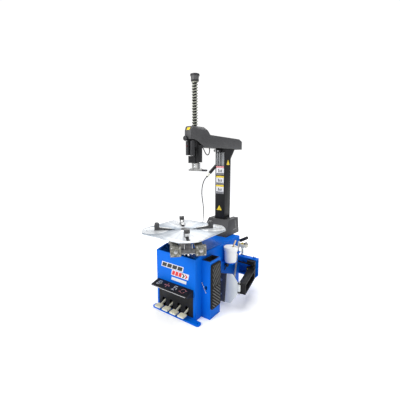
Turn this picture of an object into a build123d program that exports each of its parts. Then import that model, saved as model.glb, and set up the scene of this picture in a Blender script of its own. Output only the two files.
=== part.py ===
from build123d import *
import math
import os

os.makedirs("parts", exist_ok=True)

# Tilt-back column tyre changer, in millimetres. The origin is on the floor under the turntable's
# axis. X points to the operator's right, Y from the pedals to the column, and Z up.

# ---- driving dimensions -------------------------------------------------------------------
SHEET = 3                      # thickness of the folded cabinet sheet
HALF_WIDTH = 224               # half the width of the cabinet
FRONT = -130                   # front face of the cabinet
REAR = 638                     # rear face of the cabinet
PLATE_TOP = 10                 # top of the floor plate
FRONT_Z = 545                  # cabinet height at the front edge
RIM_Z = 570                    # cabinet height at the side rims and the rear deck
BOX_RIGHT = 313                # right face of the side box
BOX_Y = (-45, 115)
BOX_Z = 518
COLUMN_HALF = 60               # half the side of the square column
COLUMN_Y = (590, 710)
COLUMN_Z = (600, 1450)
TILT_PIN = (670, 640)          # Y and Z of the column's hinge pin
TILT_LUG = (735, 660)          # Y and Z of the lug that the tilt cylinder pulls
TABLE_Z = (730, 742)           # turntable plate
TABLE_HALF = 312
TABLE_RADIUS = 370
JAW_R = 235                    # radius of the jaws at rest
JAW_MIN, JAW_MAX = 165, 300    # their travel
PIN_INSET = 70                 # a jaw's cam pin lies this much nearer the centre
CAM_SWEEP = math.radians(72)   # turn of the cam plate over the whole jaw travel
CYL_OFFSET = 98                # clamp cylinders, either side of the jaw line
CYL_Z = 660
SHAFT_Y = 165                  # vertical shaft, behind the turntable's axis
SHAFT_FLATS = 33
ARM_Z = (1465, 1545)
ARM_Y = (215, 930)
PEDAL_X = (-143, -53, 37, 127)
PEDAL_PIVOT = (10, 110)        # Y and Z of the pedal shaft
BREAKER_PIN = (387, 640)       # X and Y of the bead breaker's hinge pin
BLADE_PIN = (438, 240)         # X and Y of the blade's pin
ROD_Y, ROD_Z = 600, 300        # bead breaker rod
BUCKET = (291, 330)            # X and Y of the paste bucket
RUN = 0.05                     # radial clearance of a running fit
HOSE_RADIUS = 4.5


def save(name, part):
    part.label = name
    export_step(part, f"parts/{name}.step")


def block(x, y, z):
    """Box between three pairs of limits."""
    size = Box(x[1] - x[0], y[1] - y[0], z[1] - z[0])
    return Pos((x[0] + x[1]) / 2, (y[0] + y[1]) / 2, (z[0] + z[1]) / 2) * size


def rod(start, end, radius):
    """Round bar from one point to another."""
    axis = Vector(*end) - Vector(*start)
    bar = Cylinder(radius, axis.length, align=(Align.CENTER, Align.CENTER, Align.MIN))
    return Plane(origin=start, z_dir=axis) * bar


def side_profile(points, x0, x1):
    """Outline of Y and Z points, filled from X0 to X1."""
    face = Plane.YZ.offset(x0) * make_face(Polyline(*points, close=True))
    return extrude(face, x1 - x0)


def front_profile(points, y0, y1):
    """Outline of X and Z points, filled from Y0 to Y1."""
    face = Plane.XZ.offset(-y1) * make_face(Polyline(*points, close=True))
    return extrude(face, y1 - y0)


def plan_profile(points, z0, z1):
    """Outline of X and Y points, filled from Z0 to Z1."""
    face = Plane.XY.offset(z0) * make_face(Polyline(*points, close=True))
    return extrude(face, z1 - z0)


def upright(part):
    return part.edges().filter_by(Axis.Z)


# ---- floor frame: plate, two foot bars with anchor holes, and the pedal shaft's uprights ----
ANCHOR_X = (-212, 268)
ANCHOR_Y = (-160, 660)


def foot_bar(y0, y1):
    bar = block((-236, 292), (y0, y1), (0, 14))
    return fillet(upright(bar), 20)


base_frame = block((-HALF_WIDTH, HALF_WIDTH), (FRONT, REAR), (0, PLATE_TOP))
base_frame += block((HALF_WIDTH, BOX_RIGHT), BOX_Y, (0, PLATE_TOP))
base_frame += foot_bar(-188, FRONT) + foot_bar(REAR, 686)
for side in (-1, 1):
    upright_x = sorted((side * 186, side * 196))
    base_frame += block(upright_x, (-12, 32), (PLATE_TOP, 132))
for x in ANCHOR_X:
    for y in ANCHOR_Y:
        base_frame -= Pos(x, y, 7) * Cylinder(7, 20)
base_frame -= rod((-200, *PEDAL_PIVOT), (200, *PEDAL_PIVOT), 8)
save("base_frame", base_frame)

# ---- cabinet shell: folded sheet with a shallow dish under the turntable ---------------------
DISH_Z = 543
outer = side_profile([(FRONT, PLATE_TOP), (REAR, PLATE_TOP), (REAR, RIM_Z), (-4, RIM_Z),
                      (FRONT, FRONT_Z)], -HALF_WIDTH, HALF_WIDTH)
inner = side_profile([(FRONT + SHEET, 0), (REAR - SHEET, 0), (REAR - SHEET, RIM_Z - SHEET),
                      (-4, RIM_Z - SHEET), (FRONT + SHEET, FRONT_Z - SHEET)],
                     SHEET - HALF_WIDTH, HALF_WIDTH - SHEET)
dish = side_profile([(-126, DISH_Z), (190, DISH_Z), (287, RIM_Z), (287, 620), (-126, 620)],
                    -196, 196)
dish_skin = side_profile([(-129, DISH_Z - SHEET), (190, DISH_Z - SHEET), (298, RIM_Z),
                          (298, 620), (-129, 620)], -199, 199)
cabinet_shell = outer - dish - (inner - dish_skin)
cabinet_shell -= block((-200, 200), (FRONT - 1, FRONT + SHEET + 1), (18, 262))
cabinet_shell -= block((-HALF_WIDTH - 1, SHEET - HALF_WIDTH + 1), (40, 480), (70, 430))
cabinet_shell -= Pos(0, 0, DISH_Z) * Cylinder(74, 20)
cabinet_shell -= rod((210, ROD_Y, ROD_Z), (230, ROD_Y, ROD_Z), 14)
cabinet_shell -= Pos(-165, 500, RIM_Z) * Cylinder(9, 20)
save("cabinet_shell", cabinet_shell)

left_side_cover = block((-HALF_WIDTH - 2.5, -HALF_WIDTH), (20, 500), (50, 450))
left_side_cover = fillet(left_side_cover.edges().filter_by(Axis.X), 12)
save("left_side_cover", left_side_cover)

# ---- side box on the right, its tool tray and the wheel rest pad ----------------------------
side_box = block((HALF_WIDTH, BOX_RIGHT), BOX_Y, (PLATE_TOP, BOX_Z))
side_box = fillet(side_box.edges().filter_by(Axis.Y).sort_by(Axis.X)[-2:], 5)
side_box -= block((HALF_WIDTH - 1, BOX_RIGHT - SHEET), (BOX_Y[0] + SHEET, BOX_Y[1] - SHEET),
                  (0, BOX_Z - SHEET))
side_box -= block((233, 302), (-34, 104), (BOX_Z - 10, BOX_Z + 1))
for z in (271, 291):
    side_box -= rod((272, BOX_Y[0] - 1, z), (272, BOX_Y[0] + SHEET + 1, z), 9)
side_box -= block((263, 281), (BOX_Y[0] - 1, BOX_Y[0] + SHEET + 1), (271, 291))
save("side_box", side_box)

tool_tray = block((229, 306), (-38, 108), (BOX_Z, BOX_Z + 2))
tool_tray += block((233.5, 301.5), (-33.5, 103.5), (486, BOX_Z))
tool_tray -= block((236, 299), (-31, 101), (488.5, BOX_Z + 3))
save("tool_tray", tool_tray)

bead_pad = block((BOX_RIGHT, BOX_RIGHT + 16), (-38, 108), (88, 492))
bead_pad = fillet(bead_pad.edges().filter_by(Axis.X), 20)
save("bead_pad", bead_pad)

# ---- pedals --------------------------------------------------------------------------------
PANEL_Y = (-127, -122)
pedal_cover = block((-199, 199), PANEL_Y, (12, 268))
pedal_cover += block((-199, -196), (PANEL_Y[1], -60), (12, 268))
pedal_cover += block((196, 199), (PANEL_Y[1], -60), (12, 268))
for x in PEDAL_X:
    arch = block((x - 19, x + 19), (-130, -120), (20, 84))
    arch += rod((x, -130, 84), (x, -120, 84), 19)
    pedal_cover -= arch
save("pedal_cover", pedal_cover)

HOOD_TIP = -222
sign_plate = side_profile([(FRONT, 270), (FRONT, 274), (HOOD_TIP, 253), (HOOD_TIP, 238),
                           (HOOD_TIP + 3, 238), (HOOD_TIP + 3, 250)], -203, 203)
for x in (-203, 200):
    sign_plate += side_profile([(FRONT, 205), (FRONT, 271), (HOOD_TIP + 1, 251),
                                (HOOD_TIP + 1, 240)], x, x + 3)
save("sign_plate", sign_plate)


def pedal(x):
    """Cast lever with a hub on the shaft and a foot pad that slopes to the front."""
    lever = side_profile([(16, 122), (-2, 98), (-120, 50), (-166, 42), (-166, 53), (-118, 68)],
                         x - 6, x + 6)
    hub = rod((x - 13, *PEDAL_PIVOT), (x + 13, *PEDAL_PIVOT), 17)
    pad = block((x - 33, x + 33), (-220, -162), (42, 53))
    pad = fillet(upright(pad), 8)
    body = lever + hub + pad
    return body - rod((x - 20, *PEDAL_PIVOT), (x + 20, *PEDAL_PIVOT), 8 + RUN)


for number, x in enumerate(PEDAL_X, start=1):
    save(f"pedal_{number}", pedal(x))

control_valves = []
for x in PEDAL_X:
    valve = block((x - 18, x + 18), (70, 120), (PLATE_TOP, 92))
    valve += rod((x, 95, 92), (x, 95, 118), 12)
    control_valves.append(valve)
save("control_valves", Compound(children=control_valves))

# ---- turntable drive: motor, belt, gearbox -------------------------------------------------
MOTOR = (300, 190)             # Y and Z of the motor's axis
WORM = (95, 460)               # Y and Z of the worm's axis
BELT_X = (-136, -120)
MOTOR_PULLEY, WORM_PULLEY = 35, 62

drive_motor = rod((-80, *MOTOR), (110, *MOTOR), 62)
drive_motor += block((-50, 80), (245, 355), (PLATE_TOP, 150))
drive_motor -= rod((-81, *MOTOR), (60, *MOTOR), 12 + RUN)
save("drive_motor", drive_motor)

gearbox = Pos(0, 0, 480) * Cylinder(108, 100)
gearbox += Pos(0, 0, 535) * Cylinder(125, 10)
gearbox += Pos(0, 0, 544) * Cylinder(70, 10)
gearbox += rod((-84, *WORM), (84, *WORM), 36)
gearbox -= Pos(0, 0, 462) * Cylinder(84, 46)
gearbox -= Pos(0, 0, 500) * Cylinder(30 + RUN, 120)
gearbox -= rod((-85, *WORM), (85, *WORM), 14 + RUN)
save("gearbox", gearbox)


def pulley(centre, radius, shaft_end, shaft_radius):
    """Flat pulley with two flanges, on its own shaft."""
    wheel = rod((BELT_X[0] - 1, *centre), (BELT_X[1] + 1, *centre), radius)
    for x in (BELT_X[0] - 4, BELT_X[1] + 1):
        wheel += rod((x, *centre), (x + 3, *centre), radius + 5)
    return wheel + rod((BELT_X[0] - 4, *centre), (shaft_end, *centre), shaft_radius)


save("motor_pulley", pulley(MOTOR, MOTOR_PULLEY, 50, 12))
save("gearbox_pulley", pulley(WORM, WORM_PULLEY, 84, 14))


def belt_loop(gap):
    rings = [Pos(*MOTOR) * Edge.make_circle(MOTOR_PULLEY + gap),
             Pos(*WORM) * Edge.make_circle(WORM_PULLEY + gap)]
    return extrude(Plane.YZ.offset(BELT_X[0]) * make_face(make_hull(rings)), 16)


save("drive_belt", belt_loop(4.5) - belt_loop(0.4))

# ---- turntable: plate, spindle, cam plate and four jaws ------------------------------------
table = block((-TABLE_HALF, TABLE_HALF), (-TABLE_HALF, TABLE_HALF), TABLE_Z)
table &= Pos(0, 0, 736) * Cylinder(TABLE_RADIUS, 12)
table = fillet(upright(table), 12)
for angle in (45, 135, 225, 315):
    slot = block((92, 340), (-13, 13), (725, 745)) + Pos(92, 0, 736) * Cylinder(13, 20)
    slot += Pos(340, 0, 736) * Cylinder(13, 20)
    table -= Rot(0, 0, angle) * slot
table = chamfer(table.faces().sort_by(Axis.Z)[-1].outer_wire().edges(), 2)
save("turntable_plate", table)

spindle = Pos(0, 0, 462) * Cylinder(80, 40)
spindle += Pos(0, 0, 500) * Cylinder(30, 118)
spindle += Pos(0, 0, 640) * Cylinder(50, 180)
spindle -= Pos(0, 0, 640) * Cylinder(14, 300)
save("turntable_spindle", spindle)

CAM_Z = (704, 711)
CAM_RATE = CAM_SWEEP / (JAW_MAX - JAW_MIN)


def cam_slot(axis_angle, half_width=9.2, overrun=2):
    """Archimedean slot for one jaw's pin, so that equal turns give equal travel."""
    inner = JAW_MIN - PIN_INSET - overrun
    outer = JAW_MAX - PIN_INSET + overrun
    left, right, centre = [], [], []
    for step in range(9):
        radius = inner + (outer - inner) * step / 8
        angle = axis_angle - CAM_RATE * (radius - JAW_R + PIN_INSET)
        point = Vector(radius * math.cos(angle), radius * math.sin(angle))
        along = Vector(math.cos(angle) + radius * CAM_RATE * math.sin(angle),
                       math.sin(angle) - radius * CAM_RATE * math.cos(angle)).normalized()
        across = Vector(-along.Y, along.X) * half_width
        centre.append((point, along * half_width))
        left.append(point + across)
        right.append(point - across)
    start, end = centre[0], centre[-1]
    outline = [Spline(*left), Spline(*right),
               ThreePointArc(left[0], start[0] - start[1], right[0]),
               ThreePointArc(left[-1], end[0] + end[1], right[-1])]
    return extrude(Plane.XY.offset(CAM_Z[0] - 1) * make_face(outline), 9)


cam_plate = Pos(0, 0, sum(CAM_Z) / 2) * Cylinder(258, 7)
cam_plate -= Pos(0, 0, 707) * Cylinder(50.5, 20)
for quarter in range(4):
    cam_plate -= cam_slot(math.pi / 4 + quarter * math.pi / 2)
save("cam_plate", cam_plate)


def jaw(yoke=None):
    """Jaw that points along +X: carrier below the plate, bar in its slot, hook on top."""
    carrier = block((JAW_R - 84, JAW_R + 25), (-30, 30), (713, 729.6))
    bar = block((JAW_R - 66, JAW_R + 26), (-12.5, 12.5), (729.6, 747))
    pin = Pos(JAW_R - PIN_INSET, 0, 709) * Cylinder(8, 9)
    neck = front_profile([(JAW_R + 26, 747), (JAW_R + 22, 776), (JAW_R - 8, 776),
                          (JAW_R - 30, 764), (JAW_R - 125, 752), (JAW_R - 125, 747)], -16, 16)
    head = front_profile([(JAW_R - 14, 774), (JAW_R + 25, 774), (JAW_R + 23, 800),
                          (JAW_R + 16, 807), (JAW_R - 8, 807), (JAW_R - 17, 797)], -23, 23)
    body = carrier + bar + pin + neck + head
    if yoke:
        body += yoke
    return body


front_yoke = block((JAW_R + 25, 350), (-20, 20), (713, 729.6))
front_yoke += block((332, 350), (-20, 20), (640, 729.6))
front_yoke += block((332, 350), (-(CYL_OFFSET - 42), CYL_OFFSET - 42), (640, 676))
rear_yoke = block((JAW_R + 25, 346), (-20, 20), (713, 729.6))
rear_yoke += block((330, 346), (-20, 20), (640, 729.6))
rear_yoke += block((330, 346), (-125, 125), (640, 680))
for side in (-1, 1):
    rear_yoke -= rod((320, side * CYL_OFFSET, CYL_Z), (350, side * CYL_OFFSET, CYL_Z), 12)

JAW_ANGLES = {"front": -45, "right": 45, "rear": 135, "left": 225}
JAW_YOKES = {"front": front_yoke, "rear": rear_yoke}
for name, angle in JAW_ANGLES.items():
    save(f"jaw_{name}", Rot(0, 0, angle) * jaw(JAW_YOKES.get(name)))


def clamp_cylinder(side):
    """Air cylinder barrel with two square end caps, along the front jaw's line."""
    y = side * CYL_OFFSET
    barrel = rod((35, y, CYL_Z), (325, y, CYL_Z), 34)
    barrel -= rod((35, y, CYL_Z), (325, y, CYL_Z), 30 + RUN)
    for x in ((5, 35), (325, 355)):
        cap = block(x, (y - 42, y + 42), (CYL_Z - 42, CYL_Z + 42))
        cap = fillet(cap.edges().filter_by(Axis.X), 7)
        barrel += cap
    return barrel - rod((0, y, CYL_Z), (40, y, CYL_Z), 12 + RUN)


def clamp_rod(side):
    y = side * CYL_OFFSET
    return rod((-346, y, CYL_Z), (175, y, CYL_Z), 12) + rod((172, y, CYL_Z), (182, y, CYL_Z), 30)


save("clamp_cylinders", Rot(0, 0, -45) * Compound(children=[clamp_cylinder(-1), clamp_cylinder(1)]))
save("clamp_rods", Rot(0, 0, -45) * Compound(children=[clamp_rod(-1), clamp_rod(1)]))

# ---- column hinge, tilt cylinder and base cover --------------------------------------------
cheek_outline = [(520, RIM_Z), (560, 690), (752, 690), (752, 610), (700, 430), (REAR, 430),
                 (REAR, RIM_Z)]
column_bracket = block((-100, 100), (REAR, REAR + 10), (412, RIM_Z + 8))
for x in (-74, 62):
    cheek = side_profile(cheek_outline, x, x + 12)
    column_bracket += cheek - rod((x - 1, *TILT_PIN), (x + 13, *TILT_PIN), 12.5)
column_bracket += block((-100, 100), (520, REAR), (RIM_Z, RIM_Z + 8))
column_bracket += block((-45, 45), (REAR + 10, 772), (412, 420))
save("column_bracket", column_bracket)

cover_outer = loft([Pos(0, 615, RIM_Z + 0.5) * Rectangle(300, 274),
                    Pos(0, 671, 728) * Rectangle(252, 198)])
cover_inner = loft([Pos(0, 619, RIM_Z - 10) * Rectangle(297, 276),
                    Pos(0, 676, 725) * Rectangle(247, 205)])
base_cover = cover_outer - cover_inner
base_cover -= block((-72, 72), (700, 800), (560, 724))
base_cover -= block((-64, 64), (586, 800), (700, 740))
save("base_cover", base_cover)

TILT_BASE = 420
air_cylinders = [rod((0, TILT_LUG[0], TILT_BASE), (0, TILT_LUG[0], 560), 30)
                 - rod((0, TILT_LUG[0], 440), (0, TILT_LUG[0], 561), 10 + RUN),
                 rod((-150, ROD_Y, ROD_Z), (190, ROD_Y, ROD_Z), 33)
                 - rod((-60, ROD_Y, ROD_Z), (191, ROD_Y, ROD_Z), 8 + RUN)
                 + block((-40, 60), (ROD_Y - 20, ROD_Y + 20), (PLATE_TOP, ROD_Z - 30))]
save("air_cylinders", Compound(children=air_cylinders))

tilt_rod = rod((0, TILT_LUG[0], 480), (0, TILT_LUG[0], 618), 10)
tilt_rod += block((-26, 26), (720, 750), (616, 630))
for x in (-26, 18):
    ear = block((x, x + 8), (720, 750), (630, 676))
    ear -= block((x - 1, x + 9), (TILT_LUG[0] - 4, TILT_LUG[0] + 4),
                 (TILT_LUG[1] - 8.8, TILT_LUG[1] + 8.8))
    for y in (TILT_LUG[0] - 4, TILT_LUG[0] + 4):
        ear -= rod((x - 1, y, TILT_LUG[1]), (x + 9, y, TILT_LUG[1]), 8.8)
    tilt_rod += ear
save("tilt_rod", tilt_rod)

hinge_pins = [rod((-82, *TILT_PIN), (82, *TILT_PIN), 12.5),
              rod((*BREAKER_PIN, 160), (*BREAKER_PIN, 368), 14),
              rod((-199.5, *PEDAL_PIVOT), (199.5, *PEDAL_PIVOT), 8)]
save("hinge_pins", Compound(children=hinge_pins))

# ---- column with the arm guide welded on top ------------------------------------------------
column_outline = block((-COLUMN_HALF, COLUMN_HALF), COLUMN_Y, COLUMN_Z)
column_outline = fillet(upright(column_outline), 8)
column_tube = column_outline - block((-54, 54), (596, 704), (590, 1440))
column_tube += rod((-60, *TILT_PIN), (60, *TILT_PIN), 22)
column_tube -= rod((-61, *TILT_PIN), (61, *TILT_PIN), 12.5 + RUN)
column_tube += block((-15, 15), (709, 748), (646, 674))
column_tube += rod((-30, *TILT_LUG), (30, *TILT_LUG), 8)
guide = block((-54, 54), (588, 712), (1449, 1556)) - block((-40.5, 40.5), (580, 720),
                                                          (ARM_Z[0] - 0.5, ARM_Z[1] + 0.5))
column_tube += guide + block((-54, 54), (700, 785), (1449, ARM_Z[0] - 0.5))
for x in (-COLUMN_HALF, 48):
    column_tube += side_profile([(700, 1350), (709, 1363), (783, 1451), (700, 1451)], x, x + 12)
save("column_tube", column_tube)

# ---- horizontal arm with the shaft block, guide sleeve and cover ----------------------------
arm_tube = block((-40, 40), ARM_Y, ARM_Z)
arm_tube -= block((-35, 35), (ARM_Y[0] + 5, ARM_Y[1] + 1), (ARM_Z[0] + 5, ARM_Z[1] - 5))
arm_tube += block((-44, 44), (112, ARM_Y[0]), (1462, 1560))
arm_tube += block((26, 62), (140, 190), (1327, 1478))
hex_bore = RegularPolygon(SHAFT_FLATS / 2 + 0.4, 6, major_radius=False)
arm_tube -= Pos(0, SHAFT_Y, 1400) * extrude(hex_bore, 200)
save("arm_tube", arm_tube)

COVER_HALF = 60
COVER_WALL = 3
COVER_END = 948


def cover_block(inset, bottom_drop):
    """The cover's outline seen from above, cut by its outlines from the side and the front."""
    half = COVER_HALF - inset
    plan = plan_profile([(half, COVER_END - inset), (half, 130), (34 - inset, 62 + inset),
                         (inset - 34, 62 + inset), (-half, 130), (-half, COVER_END - inset)],
                        1300, 1700)
    side = side_profile([(60, 1529 - bottom_drop), (60, 1596 - inset), (92, 1640 - inset),
                         (250, 1642 - inset),
                         (322, 1577 - inset), (884, 1566 - inset), (950 - inset, 1540),
                         (950 - inset, 1456 - bottom_drop), (236, 1463 - bottom_drop),
                         (170, 1490 - bottom_drop), (105, 1524 - bottom_drop)], -100, 100)
    front = front_profile([(-half, 1350), (half, 1350), (half, 1614 - inset), (half - 26, 1644 - inset),
                           (26 - half, 1644 - inset), (-half, 1614 - inset)], 0, 1000)
    return plan & side & front


arm_cover = cover_block(0, 0) - cover_block(COVER_WALL, 60)
arm_cover -= Pos(0, SHAFT_Y, 1620) * Cylinder(31, 80)
save("arm_cover", arm_cover)

control_grip = block((-39, -4), (72, 110), (1390, 1512))
control_grip = fillet(control_grip.edges().filter_by(Axis.Z), 14)
control_grip -= rod((-21, 71, 1470), (-21, 88, 1470), 7.5)
save("control_grip", control_grip)
save("grip_button", rod((-21, 66, 1470), (-21, 82, 1470), 7))

lock_cylinder = rod((28, 90, 1385), (28, 90, 1515), 21)
save("lock_cylinder", lock_cylinder)

# ---- vertical shaft, its spring and cap, and the mount head ---------------------------------
SHAFT_BOTTOM = 1321
SPRING_Z = (1561, 2020)
shaft = Pos(0, SHAFT_Y, SHAFT_BOTTOM) * extrude(
    RegularPolygon(SHAFT_FLATS / 2, 6, major_radius=False), 2060 - SHAFT_BOTTOM)
shaft += block((-56, 24.5), (136, 194), (SHAFT_BOTTOM, 1384))
save("hex_shaft", shaft)

spring_tube = Pos(0, SHAFT_Y, sum(SPRING_Z) / 2) * (
    Cylinder(28, SPRING_Z[1] - SPRING_Z[0]) - Cylinder(20, SPRING_Z[1]))
save("shaft_spring", spring_tube)

shaft_cap = Pos(0, SHAFT_Y, 2046) * Cylinder(35, 50) + Pos(0, SHAFT_Y, 2072) * Cylinder(40, 16)
shaft_cap -= Pos(0, SHAFT_Y, 2000) * extrude(
    RegularPolygon(SHAFT_FLATS / 2, 6, major_radius=False), 60)
save("shaft_cap", shaft_cap)

mount_head = block((-24, 44), (146, 184), (1262, 1321))
mount_head += front_profile([(-57, 1250), (-57, 1262), (-30, 1274), (56, 1274), (87, 1264),
                             (87, 1250)], 140, 186)
mount_head = fillet(mount_head.edges().filter_by(Axis.Y).sort_by(Axis.Z)[:2], 4)
mount_head -= block((70, 90), (152, 174), (1249, 1266))
save("mount_head", mount_head)

head_tip = block((70, 131), (152, 174), (1249, 1266))
head_tip = fillet(head_tip.edges().filter_by(Axis.Y).sort_by(Axis.X)[-2:], 6)
save("head_tip", head_tip)

# ---- hoses: a short loop on the head, and the inflator line with its gun --------------------


def tube(points, radius):
    """Hose of straight runs and tangent arcs, each arc as large as its runs allow."""
    route = [Vector(*p) for p in points]
    radii = []
    for before, corner, after in zip(route, route[1:], route[2:]):
        turn = (corner - before).get_angle(after - corner)
        shorter = min((corner - before).length, (after - corner).length)
        radii.append(0.45 * shorter / math.tan(math.radians(turn) / 2))
    line = FilletPolyline(*route, radius=radii)
    section = Plane(origin=route[0], z_dir=route[1] - route[0]) * Circle(radius)
    print("radii", [round(r) for r in radii], "length", round(line.length))
    return sweep(section, path=line)


HEAD_HOSE = [(52, 190, 1466), (53, 206, 1460), (55, 222, 1444), (56, 240, 1418),
             (56, 262, 1397), (55, 288, 1392), (54, 309, 1405), (51, 322, 1428),
             (45, 330, 1449), (37, 331, 1465)]
save("head_hose", tube(HEAD_HOSE, HOSE_RADIUS))

INFLATOR_HOSE = [(-79, 467.2, 1177.4), (-81, 438, 1160), (-84, 412, 1126), (-88, 396, 1075),
                 (-93, 396, 1020), (-100, 414, 958), (-108, 440, 900), (-114, 456, 842),
                 (-122, 466, 782), (-132, 476, 722), (-144, 486, 668), (-156, 495, 626),
                 (-164, 499, 602), (-165, 500, 584)]
save("inflator_hose", tube(INFLATOR_HOSE, HOSE_RADIUS))

hose_gland = rod((-165, 500, 562), (-165, 500, 570), 8.9)
hose_gland += rod((-165, 500, 570), (-165, 500, 584), 12)
save("hose_gland", hose_gland)

inflator_gun = rod((-80, 632, 1282), (-79, 524, 1216), 17)
inflator_gun += rod((-79, 540, 1225), (-79, 468, 1178), 9)
inflator_gun += block((-82, -COLUMN_HALF), (612, 632), (1262, 1282))
save("inflator_gun", inflator_gun)

# ---- air filter and regulator at the rear right corner --------------------------------------
KNOB_BASE, KNOB_FOOT, KNOB_TOP = (194, 662, 492), (215, 662, 504), (300, 662, 552.6)
frl_body = block((150, 222), (REAR, REAR + 6), (430, 490))
frl_body += block((192, 300), (REAR, 684), (446, 474))
frl_body += rod((244, 662, 438), (244, 662, 474), 21)
frl_body += rod((198, 662, 474), (198, 662, 494), 8) + rod(KNOB_BASE, KNOB_FOOT, 8)
frl_body -= rod((285, 661, 460), (301, 661, 460), 6.6)
save("frl_body", frl_body)

frl_bowl = rod((244, 662, 360), (244, 662, 438), 20) - rod((244, 662, 364), (244, 662, 439), 17)
save("frl_bowl", frl_bowl)
save("frl_knob", Pos(0.3, 0, 0.2) * rod(KNOB_FOOT, KNOB_TOP, 17))

# ---- paste bucket with lid and brush, tyre lever, and their holders --------------------------
BUCKET_Z = (402, 536)
bucket = Pos(*BUCKET, sum(BUCKET_Z) / 2) * Cone(56, 62, BUCKET_Z[1] - BUCKET_Z[0])
bucket -= Pos(*BUCKET, sum(BUCKET_Z) / 2 + 3) * Cone(53.6, 59.8, BUCKET_Z[1] - BUCKET_Z[0])
save("bucket", bucket)

bucket_lid = Pos(*BUCKET, 541) * Cylinder(66, 10)
bucket_lid = fillet(bucket_lid.edges().sort_by(Axis.Z)[-1], 4)
bucket_lid -= Pos(*BUCKET, 541) * Cylinder(39, 20)
save("bucket_lid", bucket_lid)

BRUSH_FOOT = (BUCKET[0] - 24, BUCKET[1] - 31, 412)
BRUSH_TOP = (BUCKET[0] + 26, BUCKET[1] + 50, 600)
save("paste_brush", rod(BRUSH_FOOT, BRUSH_TOP, 8))

LEVER_FOOT, LEVER_TOP = (240, 505, 140), (283, 505, 552)
lever_axis = (Vector(*LEVER_TOP) - Vector(*LEVER_FOOT)).normalized()
lever_plane = Plane(origin=LEVER_FOOT, x_dir=(0, 1, 0), z_dir=lever_axis)
tyre_lever = extrude(lever_plane * SlotOverall(26, 9), 414)
save("tyre_lever", tyre_lever)

shelf = block((HALF_WIDTH, HALF_WIDTH + 5), (290, 370), (380, 402))
shelf += block((HALF_WIDTH, 345), (280, 380), (396, 402))
lever_clip = block((HALF_WIDTH, 254), (485, 525), (118, 139))
lever_ring = block((HALF_WIDTH, 292), (482, 528), (430, 444))
lever_ring -= extrude(lever_plane * SlotOverall(28, 11), 500)
save("tool_holders", Compound(children=[shelf, lever_clip, lever_ring]))

# ---- bead breaker: bracket, arm, rod, blade and guard ----------------------------------------
breaker_bracket = block((HALF_WIDTH, HALF_WIDTH + 8), (560, 668), (168, 358))
breaker_bracket += block((HALF_WIDTH, 430), (606, 668), (350, 358))
breaker_bracket += block((HALF_WIDTH, 430), (606, 668), (168, 176))
breaker_bracket += block((HALF_WIDTH, 430), (662, 668), (168, 358))
breaker_bracket += block((HALF_WIDTH, 338), (616, 622), (262, 350))
breaker_bracket -= rod((220, ROD_Y, ROD_Z), (240, ROD_Y, ROD_Z), 14)
breaker_bracket -= rod((285, 610, 308), (285, 630, 308), 11)
breaker_bracket -= rod((*BREAKER_PIN, 150), (*BREAKER_PIN, 370), 14)
save("breaker_bracket", breaker_bracket)

ARM_TOP, ARM_BOTTOM = 265, 165
breaker_arm = rod((*BREAKER_PIN, 178), (*BREAKER_PIN, 348), 20)
breaker_arm += block((367, 407), (584, 640), (180, 280)) + block((367, 407), (584, 640), (320, 346))
breaker_arm += block((344, 430), (568, 586), (ARM_BOTTOM, 346))
breaker_arm += plan_profile([(356, 578), (436, 238), (500, 238), (430, 578)], ARM_BOTTOM, ARM_TOP)
breaker_arm -= plan_profile([(365, 567), (445, 247), (530, 247), (460, 567)], ARM_BOTTOM + 8,
                            ARM_TOP - 8)
breaker_arm -= block((340, 431), (560, 616), (280, 320))
breaker_arm -= block((375.5, 398.5), (573, 612), (319, 330))
breaker_arm -= rod((*BLADE_PIN, 178), (*BLADE_PIN, 251), 15)
breaker_arm -= rod((*BREAKER_PIN, 150), (*BREAKER_PIN, 370), 14 + RUN)
for z in (ARM_BOTTOM + 3, ARM_TOP - 14):
    lug = block((426, 470), (228, 240), (z, z + 10)) + rod((*BLADE_PIN, z), (*BLADE_PIN, z + 10), 12)
    breaker_arm += lug - rod((*BLADE_PIN, z - 1), (*BLADE_PIN, z + 11), 6)
breaker_arm += rod((*BLADE_PIN, ARM_BOTTOM + 3), (*BLADE_PIN, ARM_TOP - 4), 6)
save("breaker_arm", breaker_arm)

breaker_rod = rod((-50, ROD_Y, ROD_Z), (395, ROD_Y, ROD_Z), 8)
breaker_rod += rod((387, ROD_Y, ROD_Z - 10), (387, ROD_Y, 328), 8)
save("breaker_rod", breaker_rod)

BLADE_Y = (236, 244)
breaker_blade = front_profile([(290, 30), (349, 35), (421, 146), (421, 261), (364, 326),
                               (307, 314)], *BLADE_Y)
breaker_blade += block((415, 438), BLADE_Y, (182, 247))
breaker_blade += rod((*BLADE_PIN, 180), (*BLADE_PIN, 249), 12)
breaker_blade -= rod((*BLADE_PIN, 160), (*BLADE_PIN, 260), 6 + RUN)
save("breaker_blade", breaker_blade)

blade_guard = front_profile([(232, 30), (240, 302), (307, 314), (290, 30)], 231, 249)
save("blade_guard", blade_guard)
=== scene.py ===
import bmesh
import bpy
import math
from mathutils import Matrix, Vector


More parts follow.
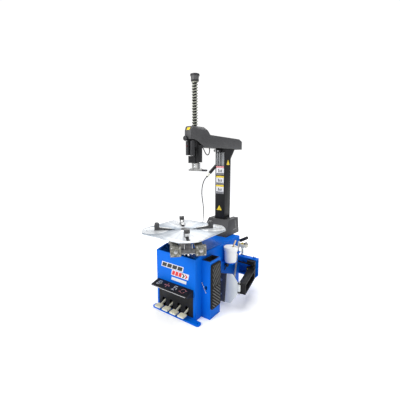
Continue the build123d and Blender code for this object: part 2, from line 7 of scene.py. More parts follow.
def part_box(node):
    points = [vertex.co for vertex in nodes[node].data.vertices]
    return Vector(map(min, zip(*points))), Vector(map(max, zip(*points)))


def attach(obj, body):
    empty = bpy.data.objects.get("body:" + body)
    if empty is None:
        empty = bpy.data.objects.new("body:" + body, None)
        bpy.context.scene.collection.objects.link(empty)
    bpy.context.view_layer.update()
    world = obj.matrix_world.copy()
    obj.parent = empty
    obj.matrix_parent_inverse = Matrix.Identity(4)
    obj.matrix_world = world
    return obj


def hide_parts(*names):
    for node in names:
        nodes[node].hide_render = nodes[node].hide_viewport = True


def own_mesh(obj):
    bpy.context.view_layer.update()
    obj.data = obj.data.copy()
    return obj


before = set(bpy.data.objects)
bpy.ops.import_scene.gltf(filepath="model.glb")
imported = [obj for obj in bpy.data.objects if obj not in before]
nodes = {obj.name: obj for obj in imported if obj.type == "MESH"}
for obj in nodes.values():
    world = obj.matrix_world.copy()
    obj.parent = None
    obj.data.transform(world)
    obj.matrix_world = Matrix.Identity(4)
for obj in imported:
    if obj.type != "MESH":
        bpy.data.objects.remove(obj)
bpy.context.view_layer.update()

# ---- Room --------------------------------------------------------------------------------------
# A plain white studio with four large soft lamps: front, right, rear and top. The floor glows more
# the farther it lies from the machine, which leaves only the soft shadow close to its foot. The
# camera stands at the machine's front right corner, at a person's height.
scene = bpy.context.scene
scene.view_settings.view_transform = "Standard"

surround = bpy.data.worlds.new("studio")
surround.use_nodes = True
tree = surround.node_tree
sky = tree.nodes["Background"]
sky.inputs["Color"].default_value = (0.93, 0.95, 1.0, 1)
sky.inputs["Strength"].default_value = 0.44
backdrop = tree.nodes.new("ShaderNodeBackground")
backdrop.inputs["Color"].default_value = (1, 1, 1, 1)
backdrop.inputs["Strength"].default_value = 1.05
either = tree.nodes.new("ShaderNodeMixShader")
seen = tree.nodes.new("ShaderNodeLightPath")
tree.links.new(seen.outputs["Is Camera Ray"], either.inputs["Fac"])
tree.links.new(sky.outputs["Background"], either.inputs[1])
tree.links.new(backdrop.outputs["Background"], either.inputs[2])
tree.links.new(either.outputs["Shader"], tree.nodes["World Output"].inputs["Surface"])
scene.world = surround

FLOOR_HALF = 40
plan = bmesh.new()
bmesh.ops.create_grid(plan, x_segments=2, y_segments=2, size=FLOOR_HALF)
floor_mesh = bpy.data.meshes.new("floor")
plan.to_mesh(floor_mesh)
plan.free()
floor = bpy.data.objects.new("floor", floor_mesh)
scene.collection.objects.link(floor)
floor_finish = bpy.data.materials.new("pale floor")
floor_finish.use_nodes = True
shader = floor_finish.node_tree.nodes["Principled BSDF"]
shader.inputs["Base Color"].default_value = (0.94, 0.94, 0.94, 1)
shader.inputs["Roughness"].default_value = 0.9
shader.inputs["Specular IOR Level"].default_value = 0.1
shader.inputs["Emission Color"].default_value = (1, 1, 1, 1)
tree = floor_finish.node_tree
distance, glow = tree.nodes.new("ShaderNodeVectorMath"), tree.nodes.new("ShaderNodeMapRange")
distance.operation = "LENGTH"
for label, value in (("From Min", 0.7), ("From Max", 2.2), ("To Min", 0.22), ("To Max", 0.7)):
    glow.inputs[label].default_value = value
tree.links.new(tree.nodes.new("ShaderNodeTexCoord").outputs["Object"], distance.inputs[0])
tree.links.new(distance.outputs["Value"], glow.inputs["Value"])
tree.links.new(glow.outputs["Result"], shader.inputs["Emission Strength"])
floor_mesh.materials.append(floor_finish)


def soft_lamp(name, place, aim, size, power):
    lamp = bpy.data.lights.new(name, "AREA")
    lamp.shape = "RECTANGLE"
    lamp.size, lamp.size_y = size
    lamp.energy = power
    holder = bpy.data.objects.new(name, lamp)
    holder.location = place
    holder.rotation_euler = (Vector(aim) - Vector(place)).to_track_quat("-Z", "Y").to_euler()
    scene.collection.objects.link(holder)


soft_lamp("front lamp", (-1.3, -3.4, 3.1), (0, 0, 0.9), (2.4, 2.4), 110)
soft_lamp("right lamp", (3.6, -0.6, 2.2), (0, 0.2, 0.8), (1.6, 2.6), 9)
soft_lamp("rear lamp", (-1.8, 3.2, 3.0), (0, 0.3, 1.0), (2.4, 1.6), 40)
soft_lamp("top lamp", (0.3, 0.2, 4.2), (0, 0.1, 0), (2.6, 2.6), 105)

eye = bpy.data.cameras.new("camera")
eye.sensor_width = 36
eye.lens = 24.11
camera = bpy.data.objects.new("camera", eye)
camera.location = (1.4846, -1.7835, 1.3719)
camera.rotation_euler = (math.radians(80.95), 0, math.radians(36.27))
scene.collection.objects.link(camera)
scene.camera = camera


# ---- Blue cabinet ------------------------------------------------------------------------------
# Folded steel sheet under a bright blue powder coat, with rolled corners, welded to a floor plate
# and two drilled foot bars. The coat has a fine orange peel, and its tone varies in soft patches.
def grain_group():
    """Patches of a second colour, uneven roughness and a fine relief, for any solid finish."""
    group = bpy.data.node_groups.new("fine grain", "ShaderNodeTree")
    face = group.interface
    for label, kind, value in (("Colour", "NodeSocketColor", (0.5, 0.5, 0.5, 1)),
                               ("Second colour", "NodeSocketColor", (0.4, 0.4, 0.4, 1)),
                               ("Patch scale", "NodeSocketFloat", 6.0),
                               ("Grain scale", "NodeSocketFloat", 600.0),
                               ("Roughness", "NodeSocketFloat", 0.4),
                               ("Spread", "NodeSocketFloat", 0.1),
                               ("Relief", "NodeSocketFloat", 0.1)):
        face.new_socket(label, in_out="INPUT", socket_type=kind).default_value = value
    face.new_socket("Colour", in_out="OUTPUT", socket_type="NodeSocketColor")
    face.new_socket("Roughness", in_out="OUTPUT", socket_type="NodeSocketFloat")
    face.new_socket("Normal", in_out="OUTPUT", socket_type="NodeSocketVector")
    make, link = group.nodes.new, group.links.new
    given, put = make("NodeGroupInput"), make("NodeGroupOutput")
    place = make("ShaderNodeTexCoord")
    patches, grain = make("ShaderNodeTexNoise"), make("ShaderNodeTexNoise")
    patches.inputs["Detail"].default_value = 5
    grain.inputs["Detail"].default_value = 2
    link(place.outputs["Object"], patches.inputs["Vector"])
    link(place.outputs["Object"], grain.inputs["Vector"])
    link(given.outputs["Patch scale"], patches.inputs["Scale"])
    link(given.outputs["Grain scale"], grain.inputs["Scale"])
    mask = make("ShaderNodeMapRange")
    mask.inputs["From Min"].default_value = 0.35
    mask.inputs["From Max"].default_value = 0.7
    link(patches.outputs["Fac"], mask.inputs["Value"])
    mix = make("ShaderNodeMix")
    mix.data_type = "RGBA"
    link(mask.outputs["Result"], mix.inputs["Factor"])
    link(given.outputs["Colour"], mix.inputs["A"])
    link(given.outputs["Second colour"], mix.inputs["B"])
    link(mix.outputs["Result"], put.inputs["Colour"])
    rough = make("ShaderNodeMath")
    rough.operation = "MULTIPLY_ADD"
    link(mask.outputs["Result"], rough.inputs[0])
    link(given.outputs["Spread"], rough.inputs[1])
    link(given.outputs["Roughness"], rough.inputs[2])
    link(rough.outputs["Value"], put.inputs["Roughness"])
    bump = make("ShaderNodeBump")
    bump.inputs["Distance"].default_value = 0.0004
    link(given.outputs["Relief"], bump.inputs["Strength"])
    link(grain.outputs["Fac"], bump.inputs["Height"])
    link(bump.outputs["Normal"], put.inputs["Normal"])
    return group


FINE_GRAIN = grain_group()


def solid_finish(name, colour, second, rough, relief=0.2, grain=600, patch=6, spread=0.1,
                 metal=0, gloss=0.5):
    """A material whose colour, roughness and relief come from the fine grain group."""
    finish = bpy.data.materials.new(name)
    finish.use_nodes = True
    shader = finish.node_tree.nodes["Principled BSDF"]
    group = finish.node_tree.nodes.new("ShaderNodeGroup")
    group.node_tree = FINE_GRAIN
    for label, value in (("Colour", (*colour, 1)), ("Second colour", (*second, 1)),
                         ("Patch scale", patch), ("Grain scale", grain), ("Roughness", rough),
                         ("Spread", spread), ("Relief", relief)):
        group.inputs[label].default_value = value
    for label, socket in (("Colour", "Base Color"), ("Roughness", "Roughness"),
                          ("Normal", "Normal")):
        finish.node_tree.links.new(group.outputs[label], shader.inputs[socket])
    shader.inputs["Metallic"].default_value = metal
    shader.inputs["Specular IOR Level"].default_value = gloss
    return finish


def add_piece(name, bm, finish, body, sharp=35):
    """A finished mesh from a bmesh, shaded smooth up to an angle, riding on a body."""
    mesh = bpy.data.meshes.new(name)
    bm.to_mesh(mesh)
    bm.free()
    mesh.materials.append(finish)
    mesh.shade_smooth()
    mesh.set_sharp_from_angle(angle=math.radians(sharp))
    piece = bpy.data.objects.new(name, mesh)
    scene.collection.objects.link(piece)
    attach(piece, body)
    return piece


def sharp_edges(bm, angle=40):
    limit = math.radians(angle)
    return [e for e in bm.edges if e.is_manifold and e.calc_face_angle(0) > limit]


def round_edges(bm, edges, width, segments=2):
    bmesh.ops.bevel(bm, geom=edges, offset=width, offset_type="OFFSET", segments=segments,
                    profile=0.5, affect="EDGES", clamp_overlap=True, material=-1)


def rounded_copy(node, width, finish, body, pick=None, segments=2, name=None):
    """Stands for a CAD node: its own shape, with the sharp edges rounded as on the real piece."""
    bm = bmesh.new()
    bm.from_mesh(nodes[node].data)
    bmesh.ops.remove_doubles(bm, verts=bm.verts, dist=1e-5)
    bmesh.ops.dissolve_limit(bm, angle_limit=math.radians(1), verts=bm.verts, edges=bm.edges)
    edges = [e for e in sharp_edges(bm) if pick is None or pick(e)]
    round_edges(bm, edges, width, segments)
    piece = add_piece(name or f"{node}_finished", bm, finish, body)
    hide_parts(node)
    return piece


def dress(finish, *names):
    """Gives CAD nodes that keep their shape a finish of their own."""
    for name in names:
        for holder in nodes[name].material_slots:
            holder.material = finish


BLUE = solid_finish("blue powder coat", (0.0, 0.145, 0.70), (0.0, 0.13, 0.65), 0.42, relief=0.12,
                    grain=420, patch=3, gloss=0.09)
CORNER_ROUND = 0.007


def outer_edge(edge):
    """Edges of the cabinet's outside: its corners and its rim."""
    a, b = (v.co for v in edge.verts)
    low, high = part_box("cabinet_shell")
    mid = (a + b) / 2
    on_side = min(abs(mid.x - low.x), abs(mid.x - high.x)) < 1e-4
    on_end = min(abs(mid.y - low.y), abs(mid.y - high.y)) < 1e-4
    on_top = a.z > 0.54 and b.z > 0.54
    upright = abs(a.z - b.z) > 0.2
    return (on_side and on_end and upright) or (on_top and (on_side or on_end))


rounded_copy("cabinet_shell", CORNER_ROUND, BLUE, "cabinet", outer_edge, 4)
rounded_copy("side_box", 0.004, BLUE, "cabinet",
             lambda e: (e.verts[0].co - e.verts[1].co).length > 0.05, 3)
for node, width in (("base_frame", 0.0012), ("left_side_cover", 0.0008), ("column_bracket", 0.0015),
                    ("tool_holders", 0.0008), ("breaker_bracket", 0.0015)):
    rounded_copy(node, width, BLUE, "cabinet")


# ---- Screws and bolts --------------------------------------------------------------------------
# Zinc-plated hexagon bolts with washers hold the side cover, the caps of the clamp cylinders, the
# bead breaker's guard and its bracket. Each group of bolts is one piece.
ZINC = solid_finish("zinc plated steel", (0.72, 0.73, 0.74), (0.55, 0.56, 0.56), 0.24, relief=0.1,
                    grain=900, patch=40, metal=1)


def pour(bm, part, matrix=None):
    """Adds a finished part to a bmesh that collects several."""
    if matrix:
        part.transform(matrix)
    holder = bpy.data.meshes.new("holder")
    part.to_mesh(holder)
    part.free()
    bm.from_mesh(holder)
    bpy.data.meshes.remove(holder)


def aim(place, direction):
    """Stands a part built along Z at a place, pointing in a direction."""
    turn = Vector((0, 0, 1)).rotation_difference(Vector(direction)).to_matrix().to_4x4()
    return Matrix.Translation(place) @ turn


def round_bar(start, end, radius, edge=0.0, sides=40, end_radius=None):
    """Bar between two points, straight or tapered, with its end edges rounded."""
    start, end = Vector(start), Vector(end)
    part = bmesh.new()
    bmesh.ops.create_cone(part, cap_ends=True, segments=sides, radius1=radius,
                          radius2=radius if end_radius is None else end_radius,
                          depth=(end - start).length)
    if edge:
        round_edges(part, sharp_edges(part, 50), edge)
    part.transform(aim((start + end) / 2, end - start))
    return part


def add_bolt(bm, place, direction, across):
    """Hexagon head with a chamfered crown on a washer."""
    place, direction = Vector(place), Vector(direction).normalized()
    pour(bm, round_bar(place, place + direction * across * 0.14, across * 0.78, across * 0.04, 28))
    head = round_bar(place, place + direction * across * 0.6, across * 0.56, 0, 6)
    round_edges(head, sharp_edges(head), across * 0.06)
    pour(bm, head)


screws = bmesh.new()
low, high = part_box("left_side_cover")
for y in (low.y + 0.025, high.y - 0.025):
    for z in (low.z + 0.025, (low.z + high.z) / 2, high.z - 0.025):
        add_bolt(screws, (low.x, y, z), (-1, 0, 0), 0.009)
add_piece("side_cover_bolts", screws, ZINC, "cabinet")


# ---- Black tray in the side box ----------------------------------------------------------------
# A moulded insert for balance weights and small tools, dropped into the box's top. Its flange has
# a soft edge, and its floor a low rib.
BLACK_PLASTIC = solid_finish("black moulded plastic", (0.012, 0.012, 0.014), (0.02, 0.02, 0.022),
                             0.42, relief=0.5, grain=1400, patch=20, gloss=0.4)
rounded_copy("tool_tray", 0.0014, BLACK_PLASTIC, "cabinet")


def rounded_box(low, high, edge=0.0, segments=2):
    """Block between two corners with every edge rounded."""
    low, high = Vector(low), Vector(high)
    part = bmesh.new()
    bmesh.ops.create_cube(part, size=1)
    bmesh.ops.scale(part, vec=high - low, verts=part.verts)
    bmesh.ops.translate(part, vec=(low + high) / 2, verts=part.verts)
    if edge:
        round_edges(part, part.edges[:], edge, segments)
    return part


low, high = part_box("tool_tray")
ribs = rounded_box((low.x + 0.022, low.y + 0.03, low.z + 0.0026),
                   (low.x + 0.026, high.y - 0.03, low.z + 0.0066), 0.001)
add_piece("tool_tray_rib", ribs, BLACK_PLASTIC, "cabinet")


# ---- Wheel rest pad ----------------------------------------------------------------------------
# A moulded rubber slab on the side box, where the wheel leans while its bead is broken. Ribs slope
# across it inside a plain border, steeply above and less so below, and are worn to a paler grey.
PAD_RUBBER = solid_finish("pad rubber", (0.01, 0.01, 0.01), (0.018, 0.018, 0.018), 0.62,
                          relief=0.5, grain=900, patch=14, spread=0.15, gloss=0.15)
RIB_RUBBER = solid_finish("worn rib rubber", (0.13, 0.13, 0.125), (0.08, 0.08, 0.077), 0.5,
                          relief=0.4, grain=900, patch=30, spread=0.15, gloss=0.3)
low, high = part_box("bead_pad")
RIB_HEIGHT = 0.0045
slab = rounded_box((low.x, low.y, low.z), (high.x - RIB_HEIGHT, high.y, high.z))
corners = [e for e in slab.edges if abs(e.verts[0].co.x - e.verts[1].co.x) > 1e-4]
round_edges(slab, corners, 0.02, 6)
round_edges(slab, [e for e in sharp_edges(slab, 60) if e.verts[0].co.x > low.x + 0.005], 0.002)
pad = add_piece("wheel_pad", slab, PAD_RUBBER, "cabinet")
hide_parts("bead_pad")


def slanted_ribs(y_span, z_span, slope, pitch, width):
    """Parallel ribs at a slope, cut off at the edges of a rectangle."""
    collected = bmesh.new()
    half_length, reach = 0.25, 0.6
    middle = Vector((0, sum(y_span) / 2, sum(z_span) / 2))
    count = int(reach / pitch)
    for step in range(-count // 2, count // 2 + 1):
        rib = rounded_box((high.x - RIB_HEIGHT - 0.0005, -half_length, -width / 2),
                          (high.x, half_length, width / 2))
        across = Matrix.Translation(middle) @ Matrix.Rotation(math.radians(slope), 4, "X")
        pour(collected, rib, across @ Matrix.Translation((0, 0, step * pitch)))
    for axis, span in ((1, y_span), (2, z_span)):
        for side, limit in zip((-1, 1), span):
            normal = Vector((0, 0, 0))
            normal[axis] = side
            point = middle.copy()
            point[axis] = limit
            cut = bmesh.ops.bisect_plane(collected, geom=collected.verts[:] + collected.edges[:]
                                         + collected.faces[:], plane_co=point, plane_no=normal,
                                         clear_outer=True)
            edges = [g for g in cut["geom_cut"] if isinstance(g, bmesh.types.BMEdge)]
            bmesh.ops.holes_fill(collected, edges=edges, sides=8)
    bmesh.ops.recalc_face_normals(collected, faces=collected.faces)
    return collected


BORDER, HALF_GAP = 0.014, 0.004
middle_z = (low.z + high.z) / 2
inner = (low.y + BORDER, high.y - BORDER)
pad_ribs = slanted_ribs(inner, (middle_z + HALF_GAP, high.z - BORDER), -62, 0.0200, 0.0075)
pour(pad_ribs, slanted_ribs(inner, (low.z + BORDER, middle_z - HALF_GAP), -40, 0.0215, 0.0085))
add_piece("wheel_pad_ribs", pad_ribs, RIB_RUBBER, "cabinet")


# ---- Guard rod at the oval hole, and the knob on the right wall --------------------------------
# A slender plated rod with a small spring lies across the oval hole of the side box, hooked at both
# ends. Behind the box, a black knob stands out of the cabinet's right wall.
rod_top, rod_foot = Vector((0.232, -0.0475, 0.318)), Vector((0.271, -0.0475, 0.238))
guard = round_bar(rod_top, rod_foot, 0.0022, 0, 16)
for end in (rod_top, rod_foot):
    pour(guard, round_bar(end - Vector((0, 0.002, 0)), end + Vector((0, 0.0028, 0)), 0.005, 0.0008,
                          20))


def coil(start, end, turns, coil_radius, wire, steps=18, sides=8):
    """Wire wound round the line between two points: a ring swept along a helix."""
    start, end = Vector(start), Vector(end)
    line = bpy.data.curves.new("helix", "CURVE")
    line.dimensions = "3D"
    line.bevel_depth = wire
    line.bevel_resolution = sides // 2 - 2
    line.use_fill_caps = True
    path = line.splines.new("POLY")
    count = int(turns * steps)
    path.points.add(count)
    stand = aim(start, end - start)
    for step, point in enumerate(path.points):
        angle = math.tau * turns * step / count
        rise = (end - start).length * step / count
        spot = stand @ Vector((coil_radius * math.cos(angle), coil_radius * math.sin(angle), rise))
        point.co = (*spot, 1)
    holder = bpy.data.objects.new("helix", line)
    scene.collection.objects.link(holder)
    mesh = bpy.data.meshes.new_from_object(holder.evaluated_get(
        bpy.context.evaluated_depsgraph_get()))
    part = bmesh.new()
    part.from_mesh(mesh)
    bpy.data.objects.remove(holder)
    bpy.data.meshes.remove(mesh)
    bmesh.ops.remove_doubles(part, verts=part.verts, dist=1e-6)
    bmesh.ops.recalc_face_normals(part, faces=part.faces)
    return part


pour(guard, coil(rod_top.lerp(rod_foot, 0.2), rod_top.lerp(rod_foot, 0.72), 12, 0.0042, 0.0009, 12))
add_piece("box_guard_rod", guard, ZINC, "cabinet")

KNOB = Vector((0.224, 0.343, 0.353))
knob = round_bar(KNOB, KNOB + Vector((0.016, 0, 0)), 0.009, 0.001)
pour(knob, round_bar(KNOB + Vector((0.014, 0, 0)), KNOB + Vector((0.034, 0, 0)), 0.021, 0.005))
pour(knob, round_bar(KNOB + Vector((0.02, -0.014, -0.006)), KNOB + Vector((0.03, -0.052, -0.03)),
                     0.006, 0.002))
add_piece("side_knob", knob, BLACK_PLASTIC, "cabinet")


# ---- Pedal panel and its sign ------------------------------------------------------------------
# Black powder-coated sheet. The panel has four arches for the pedals, with a black box behind it as
# painted shade for the shadowed inside of the cabinet, and the hood above carries four plain line
# signs and a pale lip along its front edge.
BLACK_COAT = solid_finish("black powder coat", (0.012, 0.012, 0.013), (0.018, 0.018, 0.019), 0.4,
                          relief=0.25, grain=800, patch=4, gloss=0.16)
rounded_copy("pedal_cover", 0.0008, BLACK_COAT, "cabinet")
rounded_copy("sign_plate", 0.0008, BLACK_COAT, "cabinet")
# a black box behind the arches: painted shade for the shadowed inside of the cabinet
painted_shade_box = bmesh.new()
for corners in (((-0.195, 0.046, 0.012), (0.195, 0.049, 0.262)),
                ((-0.1958, -0.121, 0.012), (-0.1925, 0.046, 0.262)),
                ((0.1925, -0.121, 0.012), (0.1958, 0.046, 0.262)),
                ((-0.195, -0.121, 0.259), (0.195, 0.049, 0.262)),
                ((-0.195, -0.121, 0.0102), (0.195, 0.046, 0.0125))):
    pour(painted_shade_box, rounded_box(*corners, 0.0008))
add_piece("pedal_box_painted_shade", painted_shade_box, BLACK_COAT, "cabinet")
WHITE_INK = solid_finish("white ink", (0.8, 0.8, 0.82), (0.7, 0.7, 0.72), 0.5, relief=0.05)
PINK_INK = solid_finish("pink ink", (0.75, 0.3, 0.32), (0.7, 0.26, 0.28), 0.5, relief=0.05)

# the hood's upper face, which falls towards the front
HOOD_BACK, HOOD_FRONT = Vector((0, -0.130, 0.274)), Vector((0, -0.222, 0.253))
hood_across = (HOOD_FRONT - HOOD_BACK).normalized()
hood_normal = Vector((1, 0, 0)).cross(-hood_across).normalized()
INK = 0.0005


def hood_matrix(x):
    """Places a sign drawn in the XY plane on the hood, its top towards the cabinet."""
    middle = (HOOD_BACK + HOOD_FRONT) / 2 + Vector((x, 0, 0))
    axes = Matrix((Vector((1, 0, 0)), -hood_across, hood_normal)).transposed().to_4x4()
    return Matrix.Translation(middle) @ axes


def stroke(bm, start, end, width=0.0042):
    """A straight line of ink between two points of the XY plane."""
    a, b = Vector((*start, 0)), Vector((*end, 0))
    part = rounded_box((-width / 2, -width / 2, -INK),
                       ((b - a).length + width / 2, width / 2, INK))
    turn = Matrix.Rotation(math.atan2(b.y - a.y, b.x - a.x), 4, "Z")
    pour(bm, part, Matrix.Translation(a) @ turn)


def arc_stroke(bm, centre, radius, first, last, width=0.0042, steps=14):
    points = []
    for step in range(steps + 1):
        angle = math.radians(first + (last - first) * step / steps)
        points.append((centre[0] + radius * math.cos(angle), centre[1] + radius * math.sin(angle)))
    for a, b in zip(points, points[1:]):
        stroke(bm, a, b, width)


PEDAL_X = (-0.143, -0.053, 0.037, 0.127)
white_signs, pink_signs = bmesh.new(), bmesh.new()
column_sign = bmesh.new()
for line in (((-0.02, -0.022), (0.0, -0.022)), ((-0.02, -0.022), (-0.012, 0.022)),
             ((-0.012, 0.022), (0.016, 0.022)), ((0.0, -0.022), (0.004, 0.01))):
    stroke(column_sign, *line)
arc_stroke(column_sign, (0.012, -0.002), 0.012, -80, 60)
pour(white_signs, column_sign, hood_matrix(PEDAL_X[0]))
jaw_sign = bmesh.new()
for side in (-1, 1):
    stroke(jaw_sign, (side * 0.006, 0), (side * 0.03, 0))
    stroke(jaw_sign, (0, side * 0.006), (0, side * 0.024))
    stroke(jaw_sign, (side * 0.022, -0.008), (side * 0.022, 0.008), 0.003)
pour(pink_signs, jaw_sign, hood_matrix(PEDAL_X[1]))
breaker_sign = bmesh.new()
for line in (((-0.012, -0.024), (-0.012, 0.024)), ((-0.012, 0.024), (0.012, 0.024)),
             ((-0.012, 0.004), (0.02, 0.004)), ((0.02, 0.004), (0.02, -0.014)),
             ((-0.022, -0.024), (0.006, -0.024))):
    stroke(breaker_sign, *line)
pour(white_signs, breaker_sign, hood_matrix(PEDAL_X[2]))
turn_sign = bmesh.new()
arc_stroke(turn_sign, (0, 0), 0.022, 20, 160)
arc_stroke(turn_sign, (0, -0.002), 0.022, 200, 340)
stroke(turn_sign, (0.021, 0.008), (0.031, 0.014), 0.005)
stroke(turn_sign, (-0.021, -0.01), (-0.031, -0.016), 0.005)
pour(pink_signs, turn_sign, hood_matrix(PEDAL_X[3]))
add_piece("hood_signs_white", white_signs, WHITE_INK, "cabinet")
add_piece("hood_signs_pink", pink_signs, PINK_INK, "cabinet")
lip = rounded_box((-0.19, -0.2226, 0.2415), (0.19, -0.2219, 0.2445), 0.0002)
add_piece("hood_lip_line", lip, WHITE_INK, "cabinet")


# ---- Front decal -------------------------------------------------------------------------------
# The cabinet's front carries a plain striped decal in place of lettering: a black band edged in
# white, a red band with two arrow tips, and a short white bar. It holds no letters at all.
RED_INK = solid_finish("red ink", (0.72, 0.012, 0.02), (0.64, 0.01, 0.016), 0.35, relief=0.05)
BLACK_INK = solid_finish("black ink", (0.006, 0.006, 0.007), (0.01, 0.01, 0.011), 0.35, relief=0.05)
FRONT_Y = -0.130


def front_shape(bm, outline, proud):
    """A flat decal on the cabinet's front, from its outline in X and Z."""
    part = bmesh.new()
    rim = [part.verts.new((x, FRONT_Y - proud, z)) for x, z in outline]
    face = part.faces.new(rim)
    raised = bmesh.ops.extrude_face_region(part, geom=[face])["geom"]
    moved = [g for g in raised if isinstance(g, bmesh.types.BMVert)]
    bmesh.ops.translate(part, vec=(0, proud + 0.0005, 0), verts=moved)
    bmesh.ops.recalc_face_normals(part, faces=part.faces)
    pour(bm, part)


def slanted_bar(x0, x1, z0, z1, lean=0.012):
    return ((x0, z0), (x1, z0), (x1 + lean, z1), (x0 + lean, z1))


white_back, black_band, red_band = bmesh.new(), bmesh.new(), bmesh.new()
BACKING, PRINT = 0.0004, 0.0007
for bar in ((-0.162, 0.088, 0.402, 0.450), (-0.046, 0.146, 0.346, 0.398),
            (-0.044, 0.124, 0.302, 0.330, 0.006)):
    front_shape(white_back, slanted_bar(*bar), BACKING)
for step in range(4):
    x = -0.154 + step * 0.06
    front_shape(black_band, slanted_bar(x, x + 0.052, 0.408, 0.444), PRINT)
for step in range(3):
    x = -0.038 + step * 0.038
    front_shape(red_band, slanted_bar(x, x + 0.031, 0.352, 0.392), PRINT)
for x, band in ((0.078, black_band), (0.108, red_band)):
    front_shape(band, ((x, 0.352), (x + 0.014, 0.352), (x + 0.034, 0.372), (x + 0.014, 0.392),
                       (x, 0.392), (x + 0.018, 0.372)), 0.0008)
add_piece("decal_white", white_back, WHITE_INK, "cabinet")
add_piece("decal_black", black_band, BLACK_INK, "cabinet")
add_piece("decal_red", red_band, RED_INK, "cabinet")


# ---- Pedals ------------------------------------------------------------------------------------
# Four cast aluminium levers on one shaft. Each foot pad has rounded corners and cast ribs across
# it, and the cast skin is dull and slightly yellow.
CAST = solid_finish("cast aluminium", (0.86, 0.84, 0.68), (0.70, 0.68, 0.55), 0.45, relief=0.9,
                    grain=500, patch=30, spread=0.18, metal=0.1)
PAD_TOP, TREAD_RIBS = 0.053, 6
for number, x in enumerate(PEDAL_X, start=1):
    node = f"pedal_{number}"
    rounded_copy(node, 0.0015, CAST, node)
    tread = bmesh.new()
    for step in range(TREAD_RIBS):
        y = -0.2165 + step * 0.0088
        pour(tread, rounded_box((x - 0.030, y, PAD_TOP - 0.001),
                                (x + 0.030, y + 0.0042, PAD_TOP + 0.003), 0.0012))
    add_piece(f"{node}_tread", tread, CAST, node)


# ---- Drive inside the cabinet ------------------------------------------------------------------
# Motor, belt, gearbox, valves and air cylinders, seen only with the side cover off: painted and
# machined castings, a black belt and plated rods.
IRON = solid_finish("painted casting", (0.09, 0.09, 0.1), (0.13, 0.13, 0.14), 0.5, relief=1.0,
                    grain=260, patch=20)
BARREL = solid_finish("drawn aluminium", (0.56, 0.56, 0.53), (0.46, 0.46, 0.43), 0.32, relief=0.3,
                      grain=500, patch=30, metal=1)
STEEL = solid_finish("ground steel", (0.55, 0.555, 0.56), (0.38, 0.385, 0.39), 0.3, relief=0.15,
                     grain=900, patch=18, metal=1)
dress(IRON, "drive_motor", "gearbox", "motor_pulley", "gearbox_pulley")
dress(PAD_RUBBER, "drive_belt")
dress(CAST, "control_valves")
dress(BARREL, "air_cylinders")
dress(STEEL, "tilt_rod", "hinge_pins", "clamp_rods")
dress(BLACK_COAT, "breaker_rod")


